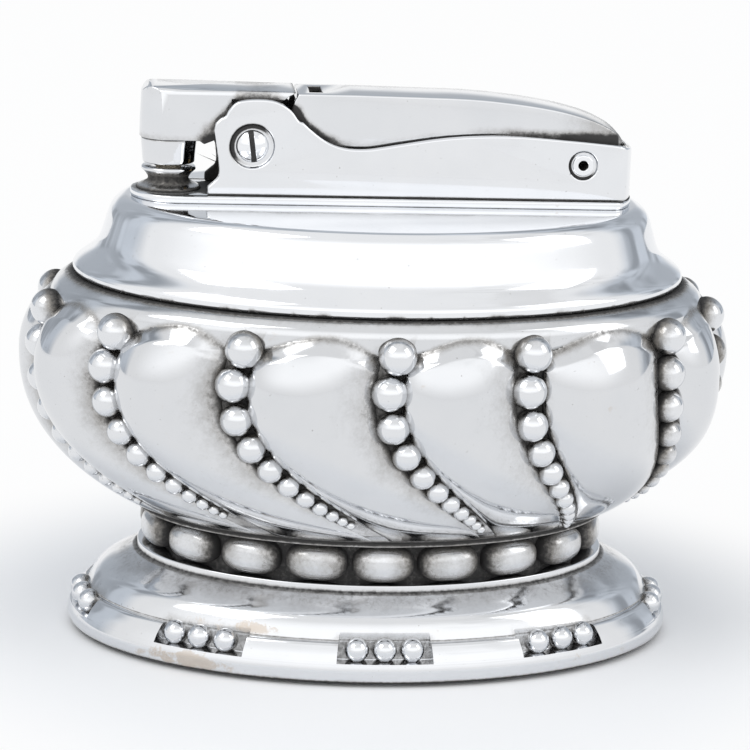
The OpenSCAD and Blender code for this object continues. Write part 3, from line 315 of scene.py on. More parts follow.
oval_ratio = 0.68
foot_low, foot_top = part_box("foot")
foot_half = foot_top.x / mm
rim_z = foot_low.z / mm
ledge_z = foot_top.z / mm
band_h = 4.45
band_bulge = 1.1
band_step = 0.45
ledge_half = 27.1
clamp_hole = 3.0
foot_wall = 1.4
seat_half, seat_h = 33.0, 1.8
hollow_half = 32.1
notch_depth = 1.9
notch_floor = 2.35
notch_per_ball = 4.5
ball_d = 2.75
ball_pitch = 3.2
notches = [0, 37, 84, 139, 180, 221, 276, 323]


def curve(points, steps):
    """Smooth line through the points, with steps pieces between neighbours."""
    line = []
    last = len(points) - 1
    for i in range(last):
        a, b, c, d = (np.array(points[min(max(k, 0), last)], float) for k in (i - 1, i, i + 1, i + 2))
        for t in np.arange(steps) / steps:
            line.append(0.5 * (2 * b + (c - a) * t + (2 * a - 5 * b + 4 * c - d) * t * t
                               + (3 * b - a - 3 * c + d) * t ** 3))
    return [tuple(p) for p in line] + [tuple(points[-1])]


def evened(line, passes):
    """The same line with small kinks taken out, so that mirror finishes run through."""
    line = np.array(line, float)
    for _ in range(passes):
        line[1:-1] = (line[:-2] + 2 * line[1:-1] + line[2:]) / 4
    return [tuple(p) for p in line]


def rounded(points, radius, steps=4):
    """The same line with its sharp corners rounded off."""
    line = [points[0]]
    for before, corner, after in zip(points, points[1:], points[2:]):
        before, corner, after = (np.array(p, float) for p in (before, corner, after))
        to_before, to_after = before - corner, after - corner
        reach = min(radius, 0.45 * np.hypot(*to_before), 0.45 * np.hypot(*to_after))
        a = corner + to_before / np.hypot(*to_before) * reach
        b = corner + to_after / np.hypot(*to_after) * reach
        for t in np.arange(steps + 1) / steps:
            line.append(tuple((1 - t) ** 2 * a + 2 * t * (1 - t) * corner + t * t * b))
    return line + [points[-1]]


smooth_below = radians(35)


def tidy_up(piece):
    """Merges doubled points, turns the faces outwards and smooths all but the sharp edges."""
    bpy.ops.object.select_all(action="DESELECT")
    piece.select_set(True)
    bpy.context.view_layer.objects.active = piece
    bpy.ops.object.mode_set(mode="EDIT")
    bpy.ops.mesh.select_all(action="SELECT")
    bpy.ops.mesh.remove_doubles(threshold=1e-7)
    bpy.ops.mesh.normals_make_consistent(inside=False)
    bpy.ops.object.mode_set(mode="OBJECT")
    bpy.ops.object.shade_smooth_by_angle(angle=smooth_below)


def mark(mesh, name, values):
    """Keeps a value from 0 to 1 at each point, such as how dark it is with dirt and painted shade."""
    layer = mesh.attributes.new(name, "FLOAT", "POINT")
    layer.data.foreach_set("value", np.clip(values, 0, 1).astype(float))


def shaped_grid(name, columns, rows, place, **marks):
    """A grid primitive whose points are moved to place(column, row), in millimetres, and closed."""
    bpy.ops.object.select_all(action="DESELECT")
    bpy.ops.mesh.primitive_grid_add(x_subdivisions=columns - 1, y_subdivisions=rows - 1, size=1)
    piece = bpy.context.object
    piece.name = name
    mesh = piece.data
    flat = np.empty(len(mesh.vertices) * 3)
    mesh.vertices.foreach_get("co", flat)
    flat = flat.reshape(-1, 3) + 0.5
    column = np.rint(flat[:, 0] * (columns - 1)).astype(int)
    row = np.rint(flat[:, 1] * (rows - 1)).astype(int)
    points = np.array(place(column, row), float).reshape(3, -1).T * mm
    mesh.vertices.foreach_set("co", points.ravel())
    for key, values in marks.items():
        mark(mesh, key, values(column, row))
    mesh.update()
    tidy_up(piece)
    return piece


def oval_point(half, angle, ratio=oval_ratio):
    """Angle 0 faces the front, and angles grow towards +X."""
    return half * np.sin(angle), -ratio * half * np.cos(angle)


def oval_normal(angle):
    x, y = oval_ratio * np.sin(angle), -np.cos(angle)
    size = np.hypot(x, y)
    return x / size, y / size


def arc_radius(angle):
    """Millimetres along the foot's edge for each radian of angle."""
    return foot_half * np.hypot(np.cos(angle), oval_ratio * np.sin(angle))


band_face = foot_half - band_bulge
band_top = band_face - 0.75
slope_foot = band_top - band_step
floor_line = rim_z + notch_floor
foot_outside = [(clamp_hole, ledge_z), (ledge_half - 6, ledge_z)]
foot_outside += rounded([(ledge_half - 1, ledge_z), (ledge_half, ledge_z),
                         (ledge_half + 0.05, ledge_z - 0.75)], 0.16)
foot_outside += curve([(ledge_half + 0.5, ledge_z - 1.0), (ledge_half + 2.3, ledge_z - 2.0),
                       (ledge_half + 4.4, ledge_z - 3.25), (slope_foot, rim_z + band_h + 0.2)], 12)
foot_outside += rounded([(slope_foot, rim_z + band_h - 0.1), (band_top, rim_z + band_h),
                         (band_top + 0.35, rim_z + band_h - 0.25)], 0.15)
band_line = curve([(band_top + 0.35, rim_z + band_h - 0.25), (band_face + 0.45, rim_z + band_h - 1.4),
                   (foot_half, rim_z + 1.5), (foot_half - 0.25, rim_z + 0.35),
                   (foot_half - 0.8, rim_z)], 10)
floor_at = float(np.interp(-floor_line, [-z for _, z in band_line], [half for half, _ in band_line]))
lip = [(floor_at - 0.02, floor_line + 0.02), (floor_at, floor_line), (floor_at + 0.03, floor_line - 0.06)]
foot_outside += sorted(band_line[1:] + lip, key=lambda point: -point[1])
foot_inside = [(seat_half, rim_z), (seat_half, seat_h), (hollow_half, seat_h), (hollow_half, floor_line),
               (band_top - notch_depth - 0.7, rim_z + band_h - 0.6),
               (ledge_half - foot_wall, ledge_z - foot_wall), (clamp_hole, ledge_z - foot_wall),
               (clamp_hole, ledge_z)]
foot_profile = np.array(foot_outside + foot_inside)
foot_outer_rows = len(foot_outside)
foot_turns = list(range(361))
notch_edges = []
for middle in notches:
    half_turn = (ball_pitch + notch_per_ball / 2) / arc_radius(radians(middle)) * 180 / pi
    notch_edges.append((middle, half_turn))
    foot_turns += [(middle + s * half_turn + e) % 360 for s in (-1, 1) for e in (-0.2, -0.06, 0.06, 0.2)]
foot_turns = np.unique(foot_turns)
notch_share = np.zeros_like(foot_turns)
for middle, half_turn in notch_edges:
    off = np.abs((foot_turns - middle + 180) % 360 - 180)
    notch_share = np.maximum(notch_share, np.clip((half_turn + 0.06 - off) / 0.12, 0, 1))
foot_angles = np.radians(foot_turns)


def foot_place(column, row):
    half, z = foot_profile[row, 0], foot_profile[row, 1]
    angle = foot_angles[column]
    nx, ny = oval_normal(angle)
    sunk = (foot_half - half) * oval_ratio / np.hypot(oval_ratio * np.sin(angle), np.cos(angle))
    open_rows = (row < foot_outer_rows) & (z > floor_line + 0.01) & (half > slope_foot - 2)
    cut = np.where(open_rows, np.maximum(notch_depth - sunk, 0), 0) * notch_share[column]
    x, y = oval_point(half, angle, np.where(half > clamp_hole, oval_ratio, 1))
    return x - nx * cut, y - ny * cut, z


def foot_dirt_and_shade(column, row):
    """Black in the crease over the band, under the neck and in the notches: partly dirt, partly painted
    shade. The slope below the ledge gets a painted reflection of the dark neck, and the lowest edge gets a
    painted shadow line.
    """
    half, z = foot_profile[row, 0], foot_profile[row, 1]
    crease = nearness(z, rim_z + band_h + 0.1, 0.16) * (half < band_top + 0.1) * 0.8
    # Painted shade under the neck's ledge.
    top = nearness(z, ledge_z - 0.85, 0.25) * 0.75
    # Painted reflection of the dark neck and its beads on the slope below the ledge.
    slope = nearness(z, ledge_z - 1.5, 1.3) * (z < ledge_z - 0.5) * 0.4
    off = np.min([np.abs((foot_turns[column] - middle + 180) % 360 - 180) - half_turn
                  for middle, half_turn in notch_edges], axis=0)
    near_notch = np.clip(1 - off / 2.5, 0, 1) * nearness(z, rim_z + band_h + 0.3, 0.8) * 0.42
    notch = notch_share[column] * (half > band_top - 0.2) * (z > floor_line + 0.03) * 0.47
    # Painted shadow line along the foot's lowest edge, standing for the dark felt and the shade under the
    # rim.
    rim_shadow_line = nearness(z, rim_z, 0.42) * 0.95
    return np.maximum.reduce([crease, top, slope, near_notch, notch, rim_shadow_line])


def foot_rubbed(column, row):
    """The plate is worn round the front left notch and a little at the front right."""
    turn, z = foot_turns[column], foot_profile[row, 1]
    below_notch = nearness(turn, 320, 13) * nearness(z, 1.5, 1.1) * 1.3
    above_notch = nearness(turn, 331, 13) * nearness(z, 5.7, 0.9)
    right_side = nearness(turn, 42, 10) * nearness(z, 1.8, 1.2) * 0.5
    return below_notch + above_notch + right_side


foot = shaped_grid("foot_casting", len(foot_turns), len(foot_profile), foot_place, soil=foot_dirt_and_shade,
                   rubbed=foot_rubbed)
cast_silver = silver_plate("silver_plate_cast", patina_and_shade=0.65, shade_tone=0.88)
stand_for(foot, cast_silver, "base", "silver_plate", "foot")


# Balls in the notches: small shots set into each notch's back wall and floor, silver
# plated. Black stays behind and below them, partly dirt and partly painted shade, and each is painted
# lighter on its outward, upper side.
ball_in = 1.65
ball_sink = 0.15
# How dark each ball is, partly dirt and partly painted shade, and how far up its painted lighter side
# leans.
ball_dirt_and_shade, ball_light_lean = 0.4, 0.45
facing_painted_light = 0.56


def small_rounds(name, segments, rings, places, full=2.0):
    """One round, modelled once and copied: places are (centre, half sizes, outward way, darkness).
    The darkness is partly dirty and partly painted shade, and it is taken off where a point faces the
    outward way, which paints that side lighter. A full above 2 makes it squarer than an ellipsoid."""
    bpy.ops.object.select_all(action="DESELECT")
    bpy.ops.mesh.primitive_uv_sphere_add(segments=segments, ring_count=rings, radius=1)
    first = bpy.context.object
    flat = np.empty(len(first.data.vertices) * 3)
    first.data.vertices.foreach_get("co", flat)
    flat = flat.reshape(-1, 3)
    flat = flat / (np.abs(flat) ** full).sum(axis=1)[:, None] ** (1 / full)
    copies = []
    for centre, halves, outward, dirt_and_shade in places:
        out = np.array(outward, float) / np.linalg.norm(outward)
        level_way = np.array([out[0], out[1], 0]) / np.hypot(out[0], out[1])
        aside = np.array([-level_way[1], level_way[0], 0])
        turned = flat[:, :1] * halves[0] * level_way + flat[:, 1:2] * halves[1] * aside
        turned = turned + flat[:, 2:] * halves[2] * np.array([0, 0, 1])
        mesh = first.data.copy()
        mesh.vertices.foreach_set("co", ((turned + np.array(centre)) * mm).ravel())
        facing = (turned / np.linalg.norm(turned, axis=1)[:, None]) @ out
        # Painted shade: each round is darker towards its sides and painted lighter where it faces the
        # outward way.
        mark(mesh, "soil", dirt_and_shade - facing * facing_painted_light)
        copy = bpy.data.objects.new(name, mesh)
        bpy.context.scene.collection.objects.link(copy)
        copies.append(copy)
    bpy.ops.object.delete()
    for copy in copies:
        copy.select_set(True)
    bpy.context.view_layer.objects.active = copies[0]
    bpy.ops.object.join()
    piece = bpy.context.object
    piece.name = name
    bpy.ops.object.shade_smooth()
    return piece


ball_places = []
for middle in notches:
    for k in (-1, 0, 1):
        angle = radians(middle) + k * ball_pitch / arc_radius(radians(middle))
        px, py = oval_point(foot_half, angle)
        nx, ny = oval_normal(angle)
        centre = (px - nx * ball_in, py - ny * ball_in, floor_line - ball_sink + ball_d / 2)
        ball_places.append((centre, [ball_d / 2] * 3, (nx, ny, ball_light_lean), ball_dirt_and_shade))
balls = small_rounds("foot_ball_set", 32, 20, ball_places)
bead_silver = silver_plate("silver_plate_beads", patina_and_shade=1.3, waves=0.9, worn=0.6, rough=0.09,
                           dent_size=1.4, shade_tone=0.88)
stand_for(balls, bead_silver, "base", "silver_plate", "foot_balls")


# Felt and its steel plate: the felt is glued under the plate and keeps the foot from
# scratching the table. Its cut edge is soft and a little furry.
felt_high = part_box("felt_pad")[1]
felt_half, felt_t = felt_high.x / mm, felt_high.z / mm
felt_black, felt_grey = (0.008, 0.008, 0.009), (0.035, 0.034, 0.036)
fuzz_h = 0.05
felt_line = [(0, 0), (felt_half * 0.5, 0), (felt_half - 0.5, 0)]
felt_line += rounded([(felt_half - 0.3, 0), (felt_half, 0), (felt_half, felt_t),
                      (felt_half - 0.3, felt_t)], 0.2, 5)
felt_line += [(felt_half - 0.5, felt_t), (felt_half * 0.5, felt_t), (0, felt_t)]
felt_line = np.array(felt_line)
felt_angles = np.radians(np.arange(721) / 2)


def felt_place(column, row):
    half, z = felt_line[row, 0], felt_line[row, 1]
    turn = felt_angles[column]
    fuzz = fuzz_h * (1 + np.sin(turn * 97) * np.sin(turn * 61 + z * 5)) * (half > felt_half - 0.35)
    x, y = oval_point(half - fuzz, turn)
    return x, y, z


felt = shaped_grid("felt_cushion", len(felt_angles), len(felt_line), felt_place)
felt_finish = Finish("black_felt")
felt_mm = felt_finish.millimetres()
felt_hairs = felt_finish.noise(felt_mm, 0.25, detail=5, rough=0.8)
felt_finish.set(Base_Color=felt_finish.mix(felt_hairs, felt_black, felt_grey), Roughness=0.95,
                Sheen_Weight=0.3, Normal=felt_finish.bump(felt_hairs, 0.12))
stand_for(felt, felt_finish.material, "base", "felt", "felt_pad")


def machined(name, base, grain=0.6, rough=0.3, metallic=1.0):
    """Plain worked metal: tool marks, a little tarnish and small differences of shine."""
    finish = Finish(name)
    place = finish.millimetres()
    marks = finish.noise(place, grain, detail=4, rough=0.7)
    stain = finish.noise(place, 3.5, detail=3, seed=4.0).between(0.4, 0.75)
    dark = tuple(c * 0.55 for c in base)
    colour = finish.mix(stain * 0.6, base, dark)
    roughness = rough + (marks - 0.5) * 0.12 + stain * 0.1
    finish.set(Base_Color=colour, Metallic=metallic, Roughness=roughness)
    finish.set(Normal=finish.bump(marks, 0.02))
    return finish.material


zinc_steel = machined("zinc_steel", (0.58, 0.6, 0.62), rough=0.32)
finish_node("base_plate", zinc_steel)


# Neck: eighteen oval beads, soldered on a strip that is bent round the waist of the body
# between foot and bowl. The strip behind the beads is black, partly dirt and partly painted shade, and the
# beads are painted darker towards their sides.
neck_half = 24.7
neck_bead_l = 7.0
neck_bead_out = 2.3
neck_bead_r = 2.1
neck_count = 18
# How dark each neck bead is, partly dirt and partly painted shade, and the lean of its painted lighter
# side.
neck_dirt_and_shade, neck_light_lean, neck_fullness = 0.75, 0.05, 2.5
strip_dirt_and_shade = 0.66
neck_low, neck_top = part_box("neck_beads")
neck_mid_z = (neck_low.z + neck_top.z) / 2 / mm
even_shift = (1 - oval_ratio ** 2) / 8 / (1 - (1 - oval_ratio ** 2) / 4)
neck_places = []
for k in range(neck_count):
    even = 2 * pi * k / neck_count
    angle = even - even_shift * sin(2 * even)
    px, py = oval_point(neck_half, angle)
    nx, ny = oval_normal(angle)
    stand = neck_bead_out - neck_bead_r
    centre = (px + nx * stand, py + ny * stand, neck_mid_z)
    halves = [neck_bead_r, neck_bead_l / 2, neck_bead_r]
    neck_places.append((centre, halves, (nx, ny, neck_light_lean), neck_dirt_and_shade))
neck = small_rounds("neck_bead_strip", 44, 32, neck_places, full=neck_fullness)
neck_silver = silver_plate("silver_plate_neck", patina_and_shade=1.1, waves=1.3, worn=0.5, rough=0.1,
                           dent_size=2.0, shade_tone=0.84)
stand_for(neck, neck_silver, "base", "silver_plate", "neck_beads")
# Painted shade with dirt: the strip between the neck beads is made dark.
crevice_silver = silver_plate("silver_plate_crevice", soil=lambda finish, place: strip_dirt_and_shade, patina_and_shade=0.95)
finish_node("neck_strip", crevice_silver)


# Bowl: cast from a carved master with fourteen lobes that lean in a spiral, and silver
# plated. Each lobe has a crisp crease on its left and falls softly to the next channel.
lobes = 14
bowl_low, bowl_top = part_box("bowl")
bowl_z, seam_z = bowl_low.z / mm, bowl_top.z / mm
mid_z = bowl_z + 17.9
lower_h = 17.4
bowl_half, base_half, rim_half = 41.15, 27.2, 35.2
low_round, low_full, high_full = 2.2, 0.87, 0.8
flange_t = 0.5
bowl_wall = 1.3
bowl_floor = 2.0
groove_depth = 3.05
groove_end, groove_fade = 0.9, 3
row_half = 0.085
lobe_top_z = seam_z - 1.7
arch_h, arch_fade = 2.4, 1.6
swirl_z = mid_z + 1.0
swirl_below, swirl_above, swirl_back = 0.08, 0.048, 1.2
row_off = [0, -2.7, 3.6, 4.9, 2.6, 0, 0, 0, 0, 0, -1.6, -3.9, -0.7, 0.3]
row_turn = np.array([360 / lobes * k + row_off[k % lobes] for k in range(lobes + 1)])
row_turn[lobes] = 360 + row_off[0]


def swirl(z):
    """Degrees by which a row of beads is turned at this height."""
    return np.where(z < swirl_z, swirl_below, swirl_above) * (z - swirl_z) ** 2 - swirl_back


def fullness(z):
    """Share of the way from the bowl's narrow ends to its widest line."""
    low = (1 - np.clip((mid_z - z) / lower_h, 0, 1) ** low_round) ** low_full
    high_part = (1 - np.clip((z - mid_z) / (seam_z - mid_z), 0, 1) ** 2) ** high_full
    return np.where(z < mid_z, low, high_part)


def crest(z):
    """Half length over the lobes."""
    end = np.where(z < mid_z, base_half, rim_half)
    return end + (bowl_half - end) * fullness(z)


def depth(z):
    """Depth of the channels between the lobes."""
    return groove_depth * fullness(z) * np.clip((seam_z - groove_end - z) / groove_fade, 0, 1)


def arch_z(w):
    """Height of the lobe's top edge, w of the way across the lobe."""
    return lobe_top_z - arch_h * (1 - np.sin(pi * w))


def sunk_in(w, z):
    bump = np.maximum(0, np.sin(pi * np.maximum(w, 0) ** 0.85)) ** 0.6
    arch = np.clip((arch_z(w) - z) / arch_fade, 0, 1) ** 0.5
    return depth(z) * (1 - bump * arch)


lobe_cuts, wall_cuts, shoulder_cuts, inner_cuts = 36, 70, 44, 12
lobe_steps = (1 - np.cos(pi * np.arange(lobe_cuts + 1) / lobe_cuts)) / 2
lobe_columns = []
for k in range(lobes):
    turn_to_next = row_turn[k + 1] - row_turn[k]
    for v in (0, 0.03, 0.06):
        lobe_columns.append((row_turn[k] + v * turn_to_next, 0.0, v / row_half))
    for w in lobe_steps:
        lobe_columns.append((row_turn[k] + (row_half + (1 - 2 * row_half) * w) * turn_to_next, w, 2.0))
    for v in (-0.06, -0.03):
        lobe_columns.append((row_turn[k + 1] + v * turn_to_next, 1.0, -v / row_half))
lobe_columns.append((row_turn[lobes], 0.0, 0.0))
lobe_columns = np.array(lobe_columns)

mouth_half = rim_half - 0.4 - bowl_wall
floor_z = bowl_z + bowl_floor
wall_rows = np.linspace(bowl_z + flange_t + 0.05, seam_z - 5.2, wall_cuts)
shoulder_rows = np.linspace(seam_z - 5.1, seam_z - 0.25, shoulder_cuts)
outer_levels = list(wall_rows) + list(shoulder_rows)
inner_levels = [floor_z + (seam_z - floor_z) * k / inner_cuts for k in range(9, 0, -1)]
bowl_rows = [(clamp_hole, bowl_z, 0), (base_half - 1, bowl_z, 0), (base_half, bowl_z, 0),
             (base_half + 0.2, bowl_z + 0.1, 0), (base_half + 0.2, bowl_z + flange_t - 0.05, 0)]
bowl_rows += [(float(crest(z)), z, 1) for z in outer_levels]
bowl_rows += [(rim_half + 0.02, seam_z - 0.1, 0), (rim_half - 0.12, seam_z, 0), (mouth_half, seam_z, 0),
              (mouth_half, seam_z - 4.0, 0)]
for z in inner_levels:
    inner_half = float(crest(z) - (groove_depth * fullness(z) + bowl_wall) / oval_ratio)
    bowl_rows.append((min(mouth_half, inner_half), z, 0))
bowl_rows += [(base_half - 2.5, floor_z, 0), (clamp_hole, floor_z, 0), (clamp_hole, bowl_z, 0)]
bowl_rows = np.array(bowl_rows)


def bowl_place(column, row):
    half, z, lobed = bowl_rows[row, 0], bowl_rows[row, 1], bowl_rows[row, 2]
    angle = np.radians(lobe_columns[column, 0] + swirl(z) * np.where(half > clamp_hole, 1, 0))
    sunk = sunk_in(lobe_columns[column, 1], z) * lobed
    x, y = oval_point(half, angle, np.where(half > clamp_hole, oval_ratio, 1))
    nx, ny = oval_normal(angle)
    return x - nx * sunk, y - ny * sunk, z


def bowl_dirt_and_shade(column, row):
    """Black in the channels and creases, most at the front right, and along seam and arches: partly dirt,
    partly painted shade where the lobes turn away into the channels and under the arches.
    """
    z, lobed = bowl_rows[row, 1], bowl_rows[row, 2]
    w, off = lobe_columns[column, 1], lobe_columns[column, 2]
    turn = lobe_columns[column, 0] + swirl(z)
    # Darker at the front right.
    front_right = nearness(turn, 62, 13) * np.clip((mid_z + 2 - z) / 6, 0.35, 1)
    channel = np.where(off < 1.5, 0.39 + 0.32 * front_right, 0.0)
    # Painted shade with dirt: a wide dark falloff on each lobe's right side into the next channel.
    crease = np.maximum.reduce([nearness(w, 0, 0.01) * 0.75, np.exp(-w / 0.04) * 0.42,
                                np.exp(-(1 - w) / 0.2) * (0.6 + 0.35 * front_right)])
    deep = depth(z) / groove_depth
    hollow = np.maximum(channel, crease) * deep ** 0.5
    # Painted shade with dirt under the arched tops of the lobes.
    arch_line = nearness(z, arch_z(w) - 0.1, 0.6) * 0.46
    seam = nearness(z, seam_z, 0.3) * 0.5 + nearness(z, seam_z, 1.1) * 0.2
    foot_line = nearness(z, bowl_z + flange_t, 0.5) * 0.8
    return np.maximum.reduce([hollow * lobed, arch_line * lobed, seam, foot_line])


bowl = shaped_grid("lobed_bowl", len(lobe_columns), len(bowl_rows), bowl_place, soil=bowl_dirt_and_shade)
bowl_silver = silver_plate("silver_plate_bowl", patina_and_shade=0.9, waves=1.1, shade_tone=0.82)
stand_for(bowl, bowl_silver, "base", "silver_plate", "bowl")


# Beads in the channels: rows of eleven balls, each smaller than the one above it, set
# into the grooves. A black ring, partly sulphide and partly painted shade, rings every one, and each bead
# is painted lighter where it faces out.
bead_d = 4.2
bead_taper = 8.0
row_beads = 11
bead_drop = 3.4
bead_seat = 0.14
bead_gap = 1.02
# How dark each bowl bead is, partly dirt and partly painted shade.
bead_dirt_and_shade = 0.46
next_reach = 1.3
halvings = 14


def bead_size(i):
    return bead_d * np.exp(-(i / bead_taper) ** 1.5)


def bead_at(turn, i, z):
    """Centre of bead i of the row at this turn, and the way it faces, at height z."""
    angle = radians(turn + float(swirl(z)))
    slope = float(crest(z + 0.1) - depth(z + 0.1) - crest(z - 0.1) + depth(z - 0.1)) / 0.2
    px, py = oval_point(float(crest(z)), angle)
    nx, ny = oval_normal(angle)
    out = np.array([oval_ratio * sin(angle), -cos(angle), -oval_ratio * slope])
    out = out / np.linalg.norm(out)
    groove = np.array([px - nx * float(depth(z)), py - ny * float(depth(z)), z])
    return groove + out * bead_size(i) * bead_seat, out


bead_places = []
for turn in row_turn[:lobes]:
    z = seam_z - bead_drop
    for i in range(row_beads):
        if i > 0:
            low, high_z = z - next_reach * bead_size(i - 1), z
            spacing = bead_gap * (bead_size(i - 1) + bead_size(i)) / 2
            for _ in range(halvings):
                z = (low + high_z) / 2
                near = np.linalg.norm(bead_at(turn, i, z)[0] - last) < spacing
                low, high_z = (low, z) if near else (z, high_z)
        last, out = bead_at(turn, i, z)
        # Beads at the front right are darker as well.
        far_right = nearness(last[0], 36, 5) * (last[1] < 0) * (z < mid_z + 3) * 0.45
        bead_places.append((last, [bead_size(i) / 2] * 3, out, bead_dirt_and_shade + far_right))
beads = small_rounds("bowl_bead_rows", 28, 18, bead_places)
stand_for(beads, bead_silver, "base", "silver_plate", "bowl_beads")


# Bolt, washer and nut: zinc-plated steel. They pull bowl, neck and foot together from
# the inside, under the lighter unit.
for node in ("clamp_bolt", "clamp_washer", "clamp_nut"):
    finish_node(node, zinc_steel)


# Cover: spun from sheet into an oval cap with a flared rim and a skirt that drops into
# the bowl's mouth, and silver plated. The whole lighter unit hangs from it.
deck_low, deck_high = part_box("deck_plate")
deck_z, top_z = deck_low.z / mm, deck_high.z / mm
flange_z = 42.0
flange_half, cover_half, cover_top_half = 35.0, 31.4, 28.9
cover_wall = 1.2
skirt_half = mouth_half - 0.3 / oval_ratio
skirt_h = 3.0
smoothings = 50
cover_profile = [(0, deck_z), (10, deck_z), (cover_top_half - 1, deck_z)]
cover_line = curve([(cover_top_half, deck_z), (cover_top_half + 0.6, deck_z - 0.1),
                    (cover_half - 0.75, deck_z - 0.95), (cover_half - 0.2, deck_z - 2.6),
                    (cover_half + 0.3, deck_z - 4.2), (cover_half + 1.0, deck_z - 5.9),
                    (flange_half - 0.5, flange_z + 1.5), (flange_half, flange_z + 0.8),
                    (flange_half - 0.1, flange_z + 0.2), (flange_half - 0.4, flange_z)], 12)
cover_profile += evened(cover_line, smoothings)
cover_outer_rows = len(cover_profile)
cover_profile += [(skirt_half + 0.1, flange_z), (skirt_half, flange_z), (skirt_half, flange_z - 0.4),
                  (skirt_half, flange_z - skirt_h + 0.1), (skirt_half - 0.1, flange_z - skirt_h),
                  (skirt_half - cover_wall, flange_z - skirt_h),
                  (skirt_half - cover_wall, flange_z + 0.6), (cover_half - cover_wall - 0.2, deck_z - 5.0),
                  (cover_top_half + 0.3, deck_z - cover_wall), (0, deck_z - cover_wall)]
cover_profile = np.array(cover_profile)
cover_turns = [k * 0.75 for k in range(481)]
cover_turns += [end + k * 0.25 for end in (90, 270) for k in range(-90, 91) if k % 3]
cover_angles = np.radians(np.unique(cover_turns))


def cover_place(column, row):
    x, y = oval_point(cover_profile[row, 0], cover_angles[column])
    return x, y, cover_profile[row, 1]


def cover_soil(column, row):
    """Crumbs of black along the seam with the bowl, and a dull skirt."""
    half, z = cover_profile[row, 0], cover_profile[row, 1]
    outside = row < cover_outer_rows + 2
    turn = cover_angles[column]
    crumbs = np.clip(np.sin(turn * 23 + 1) + np.sin(turn * 57 + 2) + 0.6 * np.sin(turn * 131), 0, 1)
    seam = nearness(z, flange_z, 0.2 + 0.3 * crumbs) * (0.4 + 0.4 * crumbs)
    skirt = (half < skirt_half + 0.05) * (z < flange_z) * 0.3
    return seam * outside + skirt


cover = shaped_grid("spun_cover", len(cover_angles), len(cover_profile), cover_place, soil=cover_soil)
sheet_silver = silver_plate("silver_plate_sheet", patina_and_shade=0.75, waves=0.8, shade_tone=0.97, dent_size=8.0)
stand_for(cover, sheet_silver, "unit", "silver_plate", "cover")


# Deck plate: a long plate with round ends on top of the cover, held by two small screws.
# It carries the frame, the wick tube and the flint tube.
def worked_copy(name, node, ease, segments=3):
    """Copy of a CAD piece with its triangles merged into faces and its sharp edges eased."""
    piece = bpy.data.objects.new(name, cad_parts[node].data.copy())
    bpy.context.scene.collection.objects.link(piece)
    bpy.ops.object.select_all(action="DESELECT")
    piece.select_set(True)
    bpy.context.view_layer.objects.active = piece
    bpy.ops.object.mode_set(mode="EDIT")
    bpy.ops.mesh.select_all(action="SELECT")
    bpy.ops.mesh.remove_doubles(threshold=1e-6)
    bpy.ops.mesh.dissolve_limited(angle_limit=radians(0.5))
    bpy.ops.object.mode_set(mode="OBJECT")
    edge = piece.modifiers.new("eased_edges", "BEVEL")
    edge.width = ease * mm
    edge.segments = segments
    edge.limit_method = "ANGLE"
    edge.angle_limit = smooth_below
    edge.use_clamp_overlap = False
    bpy.ops.object.modifier_apply(modifier=edge.name)
    bpy.ops.object.shade_smooth_by_angle(angle=smooth_below)
    return piece


def dark_ring(place_x, place_z, x, z, radius, width):
    """1 on a circle about (x, z) seen from the front, fading over width."""
    away = ((place_x - x) ** 2.0 + (place_z - z) ** 2.0) ** 0.5
    return (away - radius).size().between(width, width * 0.2)


wick_x = -24.3


def deck_soil(finish, place):
    """Dirt along the frame, in its front end, at the wick tube and on the plate's edge."""
    x, y, z = finish.axes(place)
    edge = z.between(deck_z + 0.2, deck_z - 0.02) * 0.45
    under_frame = (y.size() - 4.9).size().between(0.7, 0.1) * z.between(top_z - 0.1, top_z) * 0.72
    round_tube = ((x - wick_x) ** 2.0 + y ** 2.0) ** 0.5
    tube_foot = round_tube.between(5.4, 3.8) * 0.55
    in_frame = y.size().between(4.2, 3.8) * x.between(-21.8, -19.8) * 0.7
    return edge + under_frame + (tube_foot + in_frame) * z.between(top_z - 0.1, top_z)


deck = worked_copy("deck_top_plate", "deck_plate", ease=0.16)
deck_silver = silver_plate("silver_plate_deck", soil=deck_soil, worn=0.5)
stand_for(deck, deck_silver, "unit", "silver_plate", "deck_plate")
finish_node("deck_screws", zinc_steel)


# Frame: one strip folded to a long U, soldered to the deck. Its two cheeks rise in a dome
# round the flint wheel and dip under the thumb lever.
pivot_x, pivot_z = -15.1, top_z + 5.65
hinge_x, hinge_z = 22.37, top_z + 4.1


def frame_dirt_and_shade(finish, place):
    """Dirt round the screw and the rivet, along the deck and inside the ends. Round the screw and the
    rivet it also paints shade in their sinks, heaviest on one side.
    """
    x, y, z = finish.axes(place)
    outside = y.size().between(4.1, 4.35)
    # Painted shade: a dark crescent in the screw's sink, heaviest at its upper left.
    upper_left = ((z - pivot_z) - (x - pivot_x)).between(-2.5, 2.5)
    screw_sink = dark_ring(x, z, pivot_x, pivot_z, 2.3, 0.55) * (upper_left * 0.75 + 0.15) * outside
    # Painted shade: a dark crescent in the rivet's sink, heaviest at its lower left.
    lower_left = (0 - (z - hinge_z) - (x - hinge_x)).between(-1.5, 1.5)
    rivet_sink = dark_ring(x, z, hinge_x, hinge_z, 1.5, 0.3) * (lower_left * 0.6 + 0.3) * outside
    bottom = z.between(top_z + 0.55, top_z - 0.05) * 0.6
    far_front = y.between(3.0, 3.6) * x.between(-18.9, -19.4) * 0.6
    inside = y.size().between(4.3, 3.95) * x.between(27.3, 26.8) * 0.7
    return screw_sink + rivet_sink + bottom + inside + far_front


